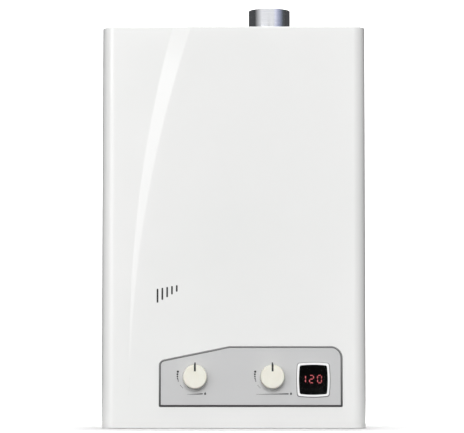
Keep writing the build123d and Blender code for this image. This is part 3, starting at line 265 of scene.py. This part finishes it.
collar_axis = middle_of("flue_collar")
bm = bmesh.new()
ends = [
    bm.verts.new((collar_axis.x - card_radius, collar_axis.y, height))
    for height in (card_low, card_high)
]
bmesh.ops.spin(
    bm, geom=[bm.edges.new(ends), *ends], cent=collar_axis, axis=(0.0, 0.0, 1.0),
    angle=math.radians(180.0), steps=48,
)
bmesh.ops.recalc_face_normals(bm, faces=bm.faces[:])
card = new_piece(bm, "collar_card")
card.visible_camera = False
card.visible_diffuse = False
card.visible_shadow = False
card.visible_transmission = False

# %% Glow of the card
card_glow = bpy.data.materials.new("card_glow")
card_glow.use_nodes = True
card_nodes = card_glow.node_tree.nodes
card_nodes.clear()
card_out = card_nodes.new("ShaderNodeOutputMaterial")
card_light = card_nodes.new("ShaderNodeEmission")
card_ramp = card_nodes.new("ShaderNodeValToRGB")
card_round = card_nodes.new("ShaderNodeTexGradient")
card_round.gradient_type = "RADIAL"
card_turn = card_nodes.new("ShaderNodeMapping")
card_turn.vector_type = "TEXTURE"
card_turn.inputs["Location"].default_value = (collar_axis.x, collar_axis.y, 0.0)
card_turn.inputs["Rotation"].default_value = (0.0, 0.0, math.radians(-90.0))
card_place = card_nodes.new("ShaderNodeTexCoord")
join(card_place.outputs["Object"], card_turn.inputs["Vector"])
join(card_turn.outputs["Vector"], card_round.inputs["Vector"])
join(card_round.outputs["Fac"], card_ramp.inputs["Fac"])
join(card_ramp.outputs["Color"], card_light.inputs["Color"])
join(card_light.outputs["Emission"], card_out.inputs["Surface"])
card.data.materials.append(card_glow)
print("card nodes:", len(card_nodes))

# %% Tones of the card, by degrees to the right of its middle
def tone_at(degrees, colour):
    stop = card_ramp.color_ramp.elements.new(0.5 + degrees / 360.0)
    stop.color = (*colour, 1.0)


tone_at(-85.0, (0.08, 0.08, 0.08))
tone_at(-44.0, (0.92, 0.92, 0.92))
tone_at(22.0, (0.92, 0.92, 0.92))
tone_at(34.0, (0.85, 0.87, 1.00))
tone_at(46.0, (0.55, 0.57, 0.72))
tone_at(60.0, (0.34, 0.37, 0.48))
tone_at(82.0, (0.08, 0.09, 0.09))
print("card stops:", len(card_ramp.color_ramp.elements))

# %% [markdown]
# ## How a finish is made
# A real surface is never one colour: paint has a fine orange-peel, sheet steel has zinc
# crystals, copper has tarnish. Photographs could be wrapped round the pieces, but node
# patterns in object space need no images and stay at their true size in metres. Helpers
# do the wiring: a pattern or a way along an axis, and what it changes, which is the
# tone, the gloss or the height of the surface.

# %% A finish and its patterns
NOISE = "ShaderNodeTexNoise"
CELLS = "ShaderNodeTexVoronoi"


def new_finish(name, metal=0.0):
    finish = bpy.data.materials.new(name)
    finish.use_nodes = True
    finishes[name] = finish
    shader = finish.node_tree.nodes["Principled BSDF"]
    shader.inputs["Metallic"].default_value = metal
    print("finish:", name)
    return shader


def pattern(shader, kind, fineness=None, stretch=(1.0, 1.0, 1.0), detail=None):
    nodes = shader.id_data.nodes
    place = nodes.new("ShaderNodeTexCoord")
    turn = nodes.new("ShaderNodeMapping")
    turn.inputs["Scale"].default_value = stretch
    made = nodes.new(kind)
    for setting, value in (("Scale", fineness), ("Detail", detail)):
        if value is not None:
            made.inputs[setting].default_value = value
    join(place.outputs["Object"], turn.inputs["Vector"])
    join(turn.outputs["Vector"], made.inputs["Vector"])
    return made


print("kinds of pattern:", NOISE, CELLS)

# %% Values spread over a range
gloss_low = 0.25
gloss_high = 0.75


def spread(output, low, high, first=0.0, last=1.0):
    span = output.id_data.nodes.new("ShaderNodeMapRange")
    span.inputs["From Min"].default_value = low
    span.inputs["From Max"].default_value = high
    span.inputs["To Min"].default_value = first
    span.inputs["To Max"].default_value = last
    join(output, span.inputs["Value"])
    return span.outputs["Result"]


def polish(shader, output, first, last):
    join(spread(output, gloss_low, gloss_high, first, last), shader.inputs["Roughness"])


def along(shader, axis, start, end):
    nodes = shader.id_data.nodes
    place = nodes.new("ShaderNodeTexCoord")
    axes = nodes.new("ShaderNodeSeparateXYZ")
    join(place.outputs["Object"], axes.inputs["Vector"])
    return spread(axes.outputs[axis], start, end)


print("gloss follows a pattern from", gloss_low, "to", gloss_high)

# %% Tones and relief
tone_low = 0.3
tone_high = 0.7


def toned(output, first, last, low=tone_low, high=tone_high):
    ramp = output.id_data.nodes.new("ShaderNodeValToRGB")
    start, end = ramp.color_ramp.elements
    start.position = low
    start.color = (*first, 1.0)
    end.position = high
    end.color = (*last, 1.0)
    join(output, ramp.inputs["Fac"])
    return ramp.outputs["Color"]


def tint(shader, output, first, last, low=tone_low, high=tone_high, socket="Base Color"):
    join(toned(output, first, last, low, high), shader.inputs[socket])


def relief(shader, output, height, strength):
    bump = shader.id_data.nodes.new("ShaderNodeBump")
    bump.inputs["Distance"].default_value = height
    bump.inputs["Strength"].default_value = strength
    join(output, bump.inputs["Height"])
    join(bump.outputs["Normal"], shader.inputs["Normal"])


print("tones follow a pattern from", tone_low, "to", tone_high)

# %% [markdown]
# ## Paper and enamel
# The sweep is matt paper that glows by itself, so it stays white where no lamp reaches.
# Round the case the floor's glow fades, or it would drown the shade there. The case is
# powder-coated sheet: nearly white, half glossy, with ripples two or three millimetres
# wide that only show where light grazes. A clear coat over a rougher base gives that
# soft, slightly wet look better than low roughness.

# %% Paper of the wall
paper_fleck = 0.01


def paper_finish(name, tone):
    paper = new_finish(name)
    paper.inputs["Roughness"].default_value = 0.9
    paper.inputs["Emission Color"].default_value = (1.0, 1.0, 1.0, 1.0)
    fibres = pattern(paper, NOISE, 30.0)
    tint(paper, fibres.outputs["Fac"], (tone - paper_fleck,) * 3, (tone + paper_fleck,) * 3)
    return paper


wall_paper = paper_finish("wall_paper", 0.90)
wall_paper.inputs["Emission Strength"].default_value = 1.0
paper_wall.data.materials.append(finishes["wall_paper"])

# %% Paper of the floor
glow_reach = 0.75
glow_fade = 0.55

floor_paper = paper_finish("floor_paper", 0.88)
spot = pattern(floor_paper, "ShaderNodeTexGradient", stretch=(1.0 / glow_reach,) * 3)
spot.gradient_type = "SPHERICAL"
glow = spread(spot.outputs["Fac"], 0.0, glow_fade, 1.0, 0.0)
join(glow, floor_paper.inputs["Emission Strength"])
paper_floor.data.materials.append(finishes["floor_paper"])

# %% White enamel
enamel = new_finish("white_enamel")
clouds = pattern(enamel, NOISE, 5.0, detail=3.0)
tint(enamel, clouds.outputs["Fac"], (0.798, 0.803, 0.793), (0.822, 0.822, 0.815))
ripples = pattern(enamel, NOISE, 380.0, detail=1.0)
relief(enamel, ripples.outputs["Fac"], height=0.00010, strength=0.10)
wiped = pattern(enamel, NOISE, 28.0, detail=4.0)
polish(enamel, wiped.outputs["Fac"], 0.18, 0.24)
enamel.inputs["Coat Weight"].default_value = 0.30
enamel.inputs["Coat Roughness"].default_value = 0.08

# %% [markdown]
# ## Galvanised sheet and plated screws
# The chassis, bottom plate, hood, fan housing and burner box are zinc-dipped sheet, whose
# crystals make pale and dark patches nearly a centimetre wide. Noise would make soft
# clouds of them, so cells of a Voronoi pattern are the crystals, and each has its own
# tone and gloss. Screws are plated bright.

# %% Zinc sheet
zinc = new_finish("zinc_sheet", metal=0.9)
crystals = pattern(zinc, CELLS, 110.0)
tint(zinc, crystals.outputs["Color"], (0.44, 0.46, 0.48), (0.62, 0.64, 0.66), 0.1, 0.9)
polish(zinc, crystals.outputs["Color"], 0.32, 0.50)
frost = pattern(zinc, NOISE, 900.0, detail=2.0)
relief(zinc, frost.outputs["Fac"], height=0.00004, strength=0.20)

# %% Plated screws
plating = new_finish("zinc_screw", metal=1.0)
smears = pattern(plating, NOISE, 300.0, detail=3.0)
tint(plating, smears.outputs["Fac"], (0.62, 0.63, 0.60), (0.80, 0.79, 0.74))
polish(plating, smears.outputs["Fac"], 0.18, 0.36)

# %% [markdown]
# ## Control panel and its trim
# The panel is moulded in a light grey with a fine spark grain, and the trim round it is
# darker and duller. A grain of half a millimetre goes into the bump, not the colour, so it
# breaks up reflections as a real texture does. The trim looks paler at its top than at its
# foot, more than the lamps alone make it, so painted shade deepens its grey downwards.

# %% Panel grey
panel = new_finish("panel_grey")
drift = pattern(panel, NOISE, 9.0, detail=2.0)
tint(panel, drift.outputs["Fac"], (0.540, 0.542, 0.546), (0.562, 0.564, 0.567))
spark = pattern(panel, NOISE, 2100.0, detail=1.0)
relief(panel, spark.outputs["Fac"], height=0.00006, strength=0.22)
polish(panel, spark.outputs["Fac"], 0.42, 0.56)

# %% Trim grey
trim = new_finish("trim_grey")
trim.inputs["Specular IOR Level"].default_value = 0.12
trim_low, trim_high = (corner[2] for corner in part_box("panel_trim"))
# Painted shade: the trim's grey darkens from its top down to its foot.
rise = along(trim, "Z", trim_low, trim_high)
tint(trim, rise, (0.095, 0.095, 0.096), (0.310, 0.310, 0.311), 0.0, 1.0)
spark = pattern(trim, NOISE, 1800.0, detail=1.0)
relief(trim, spark.outputs["Fac"], height=0.00004, strength=0.15)
polish(trim, spark.outputs["Fac"], 0.54, 0.66)

# %% [markdown]
# ## Knobs, pointers and display
# Knobs are moulded in warm cream, with a breath of light passing through the plastic.
# The window is smoked plastic: nearly black, and two fifths of the light behind it pass,
# so the lit figures glow through. A refracting glass would do the same with more noise.
# The board is green at the back and carries a black light block in front, so its finish
# changes with depth.

# %% Knob cream
cream = new_finish("knob_cream")
cream.inputs["Roughness"].default_value = 0.36
cream.inputs["Subsurface Weight"].default_value = 0.06
cream.inputs["Subsurface Scale"].default_value = 0.002
swirl = pattern(cream, NOISE, 70.0, detail=2.0)
tint(cream, swirl.outputs["Fac"], (0.785, 0.765, 0.67), (0.815, 0.80, 0.72))
skin = pattern(cream, NOISE, 1500.0, detail=1.0)
relief(cream, skin.outputs["Fac"], height=0.00004, strength=0.15)

# %% Pointer black
pointer = new_finish("pointer_black")
dust = pattern(pointer, NOISE, 600.0, detail=3.0)
tint(pointer, dust.outputs["Fac"], (0.009, 0.009, 0.010), (0.020, 0.020, 0.021))
polish(pointer, dust.outputs["Fac"], 0.30, 0.46)

# %% White of the display's frame
rim_white = new_finish("frame_white")
skin = pattern(rim_white, NOISE, 120.0, detail=2.0)
tint(rim_white, skin.outputs["Fac"], (0.885, 0.887, 0.89), (0.915, 0.915, 0.915))
polish(rim_white, skin.outputs["Fac"], 0.26, 0.36)

# %% Smoked window
smoked = new_finish("window_black")
smoked.inputs["Alpha"].default_value = 0.6
smoked.inputs["Specular IOR Level"].default_value = 0.2
smoked.inputs["IOR"].default_value = 1.49
haze = pattern(smoked, NOISE, 40.0, detail=3.0)
polish(smoked, haze.outputs["Fac"], 0.03, 0.09)
tint(smoked, haze.outputs["Fac"], (0.0005, 0.0005, 0.0005), (0.0015, 0.0015, 0.0015))

# %% Red of the lit figures
lit = new_finish("digit_red")
lit.inputs["Base Color"].default_value = (0.35, 0.02, 0.03, 1.0)
lit.inputs["Roughness"].default_value = 0.5
lit.inputs["Emission Strength"].default_value = 2.0
flicker = pattern(lit, NOISE, 900.0, detail=1.0)
tint(
    lit, flicker.outputs["Fac"], (0.94, 0.20, 0.225), (1.0, 0.25, 0.28),
    socket="Emission Color",
)

# %% Circuit board with its light block
board_thick = 0.0020
board_blend = 0.0002
board_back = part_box("display_board")[1][1]

board = new_finish("circuit_board")
tracks = pattern(board, CELLS, 420.0)
polish(board, tracks.outputs["Distance"], 0.30, 0.50)
lacquer = toned(
    tracks.outputs["Distance"], (0.03, 0.17, 0.08), (0.012, 0.075, 0.035), 0.1, 0.5,
)
board_front = board_back - board_thick
depth = along(board, "Y", board_front, board_front + board_blend)
board_mix = board.id_data.nodes.new("ShaderNodeMix")
board_mix.data_type = "RGBA"
board_mix.inputs["A"].default_value = (0.002, 0.002, 0.002, 1.0)
join(depth, board_mix.inputs["Factor"])
join(lacquer, board_mix.inputs["B"])
join(board_mix.outputs["Result"], board.inputs["Base Color"])

# %% [markdown]
# ## Polished collar
# The flue collar is a short stainless tube, buffed round and round, so its fine lines
# run level. A stretched gloss would need a direction on every face. A pattern drawn out
# along X and Y and fine along Z gives the lines without one, and the bump stays faint:
# from the front the collar must still mirror the bent card as clean bands.

# %% Stainless
stainless = new_finish("stainless", metal=1.0)
lines = pattern(stainless, NOISE, 60.0, stretch=(0.2, 0.2, 40.0), detail=3.0)
tint(stainless, lines.outputs["Fac"], (0.74, 0.75, 0.79), (0.84, 0.85, 0.87))
polish(stainless, lines.outputs["Fac"], 0.07, 0.15)
relief(stainless, lines.outputs["Fac"], height=0.00002, strength=0.05)

# %% [markdown]
# ## Metals inside
# The burner, pipes and valves lie inside the case and show only through its air slots.
# Copper tarnishes in patches, brass keeps a duller skin in places, steel has drawn streaks
# and the gas valve's casting is grainy. One metal for all would make them look cast in
# one piece, so each has a noise at its own scale, with its own two tones.

# %% Copper
copper = new_finish("copper", metal=1.0)
tarnish = pattern(copper, NOISE, 26.0, detail=5.0)
tint(copper, tarnish.outputs["Fac"], (0.46, 0.19, 0.11), (0.78, 0.43, 0.29))
polish(copper, tarnish.outputs["Fac"], 0.46, 0.24)

# %% Brass
brass = new_finish("brass", metal=1.0)
skin = pattern(brass, NOISE, 55.0, detail=4.0)
tint(brass, skin.outputs["Fac"], (0.58, 0.42, 0.19), (0.82, 0.64, 0.34))
polish(brass, skin.outputs["Fac"], 0.42, 0.22)
turning = pattern(brass, NOISE, 120.0, stretch=(0.3, 0.3, 14.0), detail=2.0)
relief(brass, turning.outputs["Fac"], height=0.00003, strength=0.12)

# %% Steel
steel = new_finish("steel", metal=1.0)
streaks = pattern(steel, NOISE, 70.0, stretch=(8.0, 1.0, 1.0), detail=3.0)
tint(steel, streaks.outputs["Fac"], (0.38, 0.38, 0.39), (0.58, 0.58, 0.58))
polish(steel, streaks.outputs["Fac"], 0.30, 0.50)

# %% Cast aluminium
casting = new_finish("cast_aluminium", metal=1.0)
sand = pattern(casting, NOISE, 800.0, detail=3.0)
tint(casting, sand.outputs["Fac"], (0.48, 0.49, 0.50), (0.66, 0.67, 0.68))
relief(casting, sand.outputs["Fac"], height=0.00015, strength=0.35)
polish(casting, sand.outputs["Fac"], 0.45, 0.65)

# %% [markdown]
# ## Plastics, rubber and porcelain
# The motor, the switches and the electrical boxes are black moulded plastic, the gland is
# rubber, the gasket is red silicone and the electrode sleeves are glazed porcelain. Plain
# colours would make them all one plastic. They differ most in gloss, so each has its own
# range of roughness over nearly plain tones. The black is set darker than plastic is, as
# painted shade where it shows through the air slots.

# %% Black plastic
plastic = new_finish("black_plastic")
grain = pattern(plastic, NOISE, 1300.0, detail=1.0)
# The near-black tones are partly painted shade, for the dark inside seen through the air
# slots.
tint(plastic, grain.outputs["Fac"], (0.005, 0.005, 0.006), (0.010, 0.010, 0.011))
relief(plastic, grain.outputs["Fac"], height=0.00008, strength=0.25)
polish(plastic, grain.outputs["Fac"], 0.42, 0.58)

# %% Black rubber
rubber = new_finish("black_rubber")
bloom = pattern(rubber, NOISE, 140.0, detail=4.0)
tint(rubber, bloom.outputs["Fac"], (0.015, 0.015, 0.015), (0.036, 0.036, 0.035))
polish(rubber, bloom.outputs["Fac"], 0.62, 0.82)

# %% Red silicone
silicone = new_finish("silicone")
bloom = pattern(silicone, NOISE, 160.0, detail=3.0)
tint(silicone, bloom.outputs["Fac"], (0.36, 0.06, 0.04), (0.48, 0.10, 0.07))
polish(silicone, bloom.outputs["Fac"], 0.48, 0.64)

# %% Porcelain
porcelain = new_finish("porcelain")
specks = pattern(porcelain, NOISE, 500.0, detail=4.0)
tint(porcelain, specks.outputs["Fac"], (0.74, 0.71, 0.64), (0.87, 0.85, 0.80), 0.2, 0.5)
polish(porcelain, specks.outputs["Fac"], 0.12, 0.24)

# %% [markdown]
# ## Finishes onto the solids
# Each solid of the part names the slot that it takes its finish from, so one loop gives
# every one its material. Doing it by hand would be long and easy to get wrong.

# %% Dress the solids
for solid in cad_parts.values():
    for held in solid.material_slots:
        held.material = finishes[held.material.name.split(".")[0]]
print("dressed:", len(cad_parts), "solids with", len(finishes), "finishes at hand")

# %% [markdown]
# ## The case with its pressed edges
# On the real case the front folds into the top over a small radius, each cut edge is
# softened by the paint, and the slanted band of the crease opens evenly from the foot.
# The solid has these edges sharp and its band opens late. Its mesh is loose triangles,
# so a copy is merged and its flat parts joined first. The long splinters on the left
# upright, which gloss would show, are laid anew as even strips between the same corners:
# bridging the rows would do it too, but twists where a row has spare edges. The corners
# along the crease then slide sideways, which keeps them on the two sheets that they join,
# and every sharp edge gets a weight for the Bevel modifier.

# %% Merged copy of the case
merge_gap = 0.000002
flat_turn = math.radians(0.02)
touch = 0.0001
flat_side = 0.9999
upright_round = 0.018
side_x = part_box("front_cover")[1][0]
top_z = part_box("front_cover")[1][2]
arc_edge = side_x - upright_round - touch


def merged_copy(node, leave=None):
    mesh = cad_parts[node].data.copy()
    mesh.attributes.remove(mesh.attributes["custom_normal"])
    bm = bmesh.new()
    bm.from_mesh(mesh)
    bpy.data.meshes.remove(mesh)
    bmesh.ops.remove_doubles(bm, verts=bm.verts[:], dist=merge_gap)
    left = {edge for face in bm.faces if leave and leave(face) for edge in face.edges}
    bmesh.ops.dissolve_limit(
        bm, angle_limit=flat_turn, use_dissolve_boundaries=False, verts=[],
        edges=[edge for edge in bm.edges if edge not in left], delimit=set(),
    )
    return bm


def on_top(corners):
    return all(corner.co.z > top_z - touch for corner in corners)


def on_upright(face):
    bent = abs(face.normal.x) < flat_side and not on_top(face.verts)
    return bent and all(abs(corner.co.x) > arc_edge for corner in face.verts)


bm = merged_copy("front_cover", on_upright)
weight = bm.edges.layers.float.new("bevel_weight_edge")
print("case faces after joining:", len(bm.faces))

# %% Even rows on the left upright
arc_lean = 0.02
row_digits = 2


def on_left_arc(face):
    return on_upright(face) and face.normal.x < -arc_lean and face.normal.y < -arc_lean


arc = [face for face in bm.faces if on_left_arc(face)]
rows = {}
for corner in {corner for face in arc for corner in face.verts}:
    rows.setdefault(round(corner.co.z, row_digits), []).append(corner)
for row in rows.values():
    row.sort(key=lambda corner: corner.co.x)
levels = sorted(rows)
for low, high in zip(levels, levels[1:]):
    below, above = rows[low], rows[high]
    if len(below) != len(above):
        continue
    both = set(below + above)
    old = [face for face in arc if face.is_valid and both.issuperset(face.verts)]
    bmesh.ops.delete(bm, geom=old, context="FACES_ONLY")
    for column in range(len(below) - 1):
        bm.faces.new((below[column], below[column + 1], above[column + 1], above[column]))
    print("laid anew between", low, "and", high, "m:", len(below) - 1, "for", len(old))
loose = [edge for edge in bm.edges if not edge.link_faces]
bmesh.ops.delete(bm, geom=loose, context="EDGES")
bm.normal_update()

# %% Lines of the crease
crease_foot_z = 0.045
crease_inset = 0.0408
crease_run = 0.0867
crease_bend = 2
band_wide = 0.0266
band_bend = 1.25


def crease_share(z):
    return max(0.0, (z - crease_foot_z) / (top_z - crease_foot_z))


def crease_at(z):
    return crease_inset - side_x + crease_run * crease_share(z) ** crease_bend


def band_at(z):
    return band_wide * crease_share(z) ** band_bend


print("crease at the top:", round(crease_at(top_z), 4), "band:", round(band_at(top_z), 4))

# %% Corners slid along the crease
crease_turn = math.radians(6.0)
sharp_turn = math.radians(35.0)
crease_deep = 0.01
facing_front = -0.5
arc_clear = 0.002
lean_least = 0.00002


def middle_of_edge(edge):
    return (edge.verts[0].co + edge.verts[1].co) / 2


def on_crease(edge):
    at = middle_of_edge(edge)
    inside = at.y < front_y + crease_deep and abs(at.x) < arc_edge - arc_clear
    outer = all(face.normal.y < facing_front for face in edge.link_faces)
    return inside and outer and crease_turn < edge.calc_face_angle(0.0) < sharp_turn


crease = [edge for edge in bm.edges if on_crease(edge)]
for corner in {corner for edge in crease for corner in edge.verts}:
    line = crease_at(corner.co.z)
    leans = corner.co.y > front_y + lean_least
    corner.co.x = line - band_at(corner.co.z) if leans else line
print("crease edges:", len(crease))

# %% Weights for the rounding
case_round = 0.0013
cut_share = 0.08
full_band = 8.0 * case_round
collar_clear = 0.06
wall_clear = 0.004
wall_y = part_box("rear_chassis")[1][1]


def on_top_fold(edge):
    at = middle_of_edge(edge)
    near_collar = (at - collar_axis).xy.length < collar_clear
    return on_top(edge.verts) and not near_collar and at.y < wall_y - wall_clear


sharp = [edge for edge in bm.edges if edge.calc_face_angle(0.0) >= sharp_turn]
for edge in sharp:
    edge[weight] = 1.0 if on_top_fold(edge) else cut_share
for edge in crease:
    edge[weight] = min(1.0, band_at(middle_of_edge(edge).z) / full_band)
for face in bm.faces:
    face.smooth = True
print("sharp edges:", len(sharp), "on the top fold:", sum(map(on_top_fold, sharp)))
case = new_piece(bm, "case_shell", "heater", "white_enamel")
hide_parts("front_cover")

# %% Round the case's edges
rounding = case.modifiers.new("pressed_edges", "BEVEL")
rounding.limit_method = "WEIGHT"
rounding.width = case_round
rounding.segments = 4
rounding.profile = 0.5
rounding.use_clamp_overlap = False
rounding.loop_slide = False
shading = case.modifiers.new("even_shading", "WEIGHTED_NORMAL")
shading.keep_sharp = True
shading.weight = 100
print("rounded by", case_round, "m in", rounding.segments, "steps")

# %% [markdown]
# ## Sloped trim, a ring of painted shade and lit figures
# The trim round the panel is a moulding with sloped sides: pale along its top, dark along
# its foot, from the lamps and from shade painted into its grey. The solid is a flat ring,
# so a merged copy gets its two front edges cut by an operator, because they are closed
# loops and need no weights. The cuts are together wider than the ring, so their slopes
# cross just under its front. Round the display's frame a thin dark line is painted shade
# for the gap between frame and panel: the frame's own ring again, a little larger and
# pressed flat on the panel. The lit figures are the solid's own, drawn in to the size that
# the picture shows.

# %% Slope the trim
trim_slope = 0.0019
square_turn = 1.0
flat_front = 0.999

bm = merged_copy("panel_trim")
trim_front = min(corner.co.y for corner in bm.verts)


def on_front_edge(edge):
    ahead = all(corner.co.y < trim_front + touch for corner in edge.verts)
    return ahead and edge.calc_face_angle(0.0) > square_turn


bmesh.ops.bevel(
    bm, geom=[edge for edge in bm.edges if on_front_edge(edge)], offset=trim_slope,
    offset_type="OFFSET", segments=1, profile=0.5, affect="EDGES", material=-1,
    clamp_overlap=False,
)
for face in bm.faces:
    face.smooth = abs(face.normal.y) < flat_front
moulding_ring = new_piece(bm, "trim_moulding", "heater", "trim_grey")
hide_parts("panel_trim")

# %% Painted shade round the display
shade_ring_show = 0.0009
shade_ring_thick = 0.00015
panel_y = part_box("control_panel")[0][1]


def resized_copy(node, factors, place):
    bm = merged_copy(node)
    bmesh.ops.translate(bm, verts=bm.verts[:], vec=-middle_of(node))
    bmesh.ops.scale(bm, verts=bm.verts[:], vec=factors)
    bmesh.ops.translate(bm, verts=bm.verts[:], vec=place)
    return bm


ring_low, ring_high = (Vector(corner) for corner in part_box("display_frame"))
ring_size = ring_high - ring_low
ring_middle = middle_of("display_frame")
wider = 1.0 + 2 * shade_ring_show / ring_size.x
taller = 1.0 + 2 * shade_ring_show / ring_size.z
# A thin dark ring on the panel round the frame, painted shade for the gap between them.
bm = resized_copy(
    "display_frame", (wider, shade_ring_thick / ring_size.y, taller),
    (ring_middle.x, panel_y - shade_ring_thick / 2, ring_middle.z),
)
new_piece(bm, "display_shade_ring", "heater", "trim_grey")

# %% Lit figures
figure_shrink = 0.93
figure_shift = Vector((0.0003, 0.0, 0.0))

bm = resized_copy(
    "led_digits", (figure_shrink, 1.0, figure_shrink), middle_of("led_digits") + figure_shift,
)
figures = new_piece(bm, "lit_figures", "heater", "digit_red")
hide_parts("led_digits")

# %% [markdown]
# ## Printed scales beside the knobs
# A row of black dots curves round the lower left of each knob: six that shrink as they
# go, a gap, then three small ones. They could be painted by a pattern, but then they
# would not stay with the knob's axis, so each dot is a small disc of ink, a tenth of a
# millimetre thick, on the panel's face.

# %% Ink on the panel
ink_thick = 0.00012


def on_panel(x, z):
    return Matrix.Translation((x, panel_y, z)) @ Matrix.Rotation(math.radians(90.0), 4, "X")


def raise_ink(bm, name):
    bmesh.ops.recalc_face_normals(bm, faces=bm.faces[:])
    raised = bmesh.ops.extrude_face_region(bm, geom=bm.faces[:], use_keep_orig=True)["geom"]
    bmesh.ops.translate(bm, verts=corners_of(raised), vec=(0.0, -ink_thick, 0.0))
    bmesh.ops.recalc_face_normals(bm, faces=bm.faces[:])
    new_piece(bm, name, "heater", "pointer_black")


print("ink lies on the panel at y", round(panel_y, 5))

# %% Dots of the scales, by degrees round the knob from its top
scale_radius = 0.0255
scale_close = 0.0020
scale_sweep = 60.0
first_count = 6
first_angle = 73.4
first_step = 8.1
step_shrink = 0.865
first_dot = 0.0016
dot_shrink = 0.85
second_count = 3
second_angle = 121.0
second_step = 5.3
second_dot = 0.00055


def ink_dot(bm, axis, degrees, size):
    around = math.radians(degrees)
    reach = scale_radius - scale_close * (degrees - first_angle) / scale_sweep
    place = on_panel(axis.x - reach * math.sin(around), axis.z + reach * math.cos(around))
    bmesh.ops.create_circle(bm, cap_ends=True, segments=20, radius=size, matrix=place)


def ink_scale(name, knob):
    axis = middle_of(knob)
    bm = bmesh.new()
    degrees = first_angle
    for step in range(first_count):
        ink_dot(bm, axis, degrees, first_dot * dot_shrink ** step)
        degrees += first_step * step_shrink ** step
    for step in range(second_count):
        ink_dot(bm, axis, second_angle + second_step * step, second_dot)
    raise_ink(bm, name)


ink_scale("gas_scale", "gas_knob")
ink_scale("water_scale", "water_knob")

# %% [markdown]
# ## Printed signs under the knobs
# Under each knob stands a plain sign for what it sets: a long wedge that grows from less
# to more, with a flame for the gas and a drop for the water at its thick end. A picture
# file could hold the signs, but it would blur when seen from near. So a wedge is four
# corners filled, and flame and drop are circles whose top corner is drawn out.

# %% Wedges, flame and drop
sign_drop = 0.0242
wedge_low = 0.0003
wedge_high = 0.0016
sign_radius = 0.0014
sign_gap = 2.4 * sign_radius
tip_rise = 1.3 * sign_radius


def ink_wedge(bm, axis, long):
    left = axis.x - long / 2
    foot = axis.z - sign_drop - wedge_high / 2
    corners = ((left, wedge_low), (left + long, wedge_high), (left + long, 0.0), (left, 0.0))
    bm.faces.new([bm.verts.new((x, panel_y, foot + z)) for x, z in corners])


def ink_tear(bm, place, lean):
    made = bmesh.ops.create_circle(
        bm, cap_ends=True, segments=16, radius=sign_radius, matrix=place,
    )
    tip = max(made["verts"], key=lambda corner: corner.co.z)
    bmesh.ops.translate(bm, verts=[tip], vec=(lean, 0.0, tip_rise))


def ink_sign(name, knob, long, lean):
    axis = middle_of(knob)
    bm = bmesh.new()
    ink_wedge(bm, axis, long)
    ink_tear(bm, on_panel(axis.x + long / 2 + sign_gap, axis.z - sign_drop), lean)
    raise_ink(bm, name)


ink_sign("gas_sign", "gas_knob", long=0.022, lean=0.0007)
ink_sign("water_sign", "water_knob", long=0.046, lean=0.0)

# %% [markdown]
# ## Index lines over the knobs
# Each pointer carries on past the rim of its knob at rest, so a short line is printed on
# the panel there, about as wide as the pointer. On the knob it would turn away with it. A
# grid of one square, stretched to the line's size, is all that it takes.

# %% Index lines
index_wide = 0.0020
index_tall = 0.0028


def ink_index(name, knob):
    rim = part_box(knob)[1][2]
    stretch = Matrix.Diagonal((index_wide / 2, index_tall / 2, 1.0, 1.0))
    bm = bmesh.new()
    bmesh.ops.create_grid(
        bm, x_segments=1, y_segments=1, size=1.0,
        matrix=on_panel(middle_of(knob).x, rim + index_tall / 2) @ stretch,
    )
    raise_ink(bm, name)


ink_index("gas_index", "gas_knob")
ink_index("water_index", "water_knob")
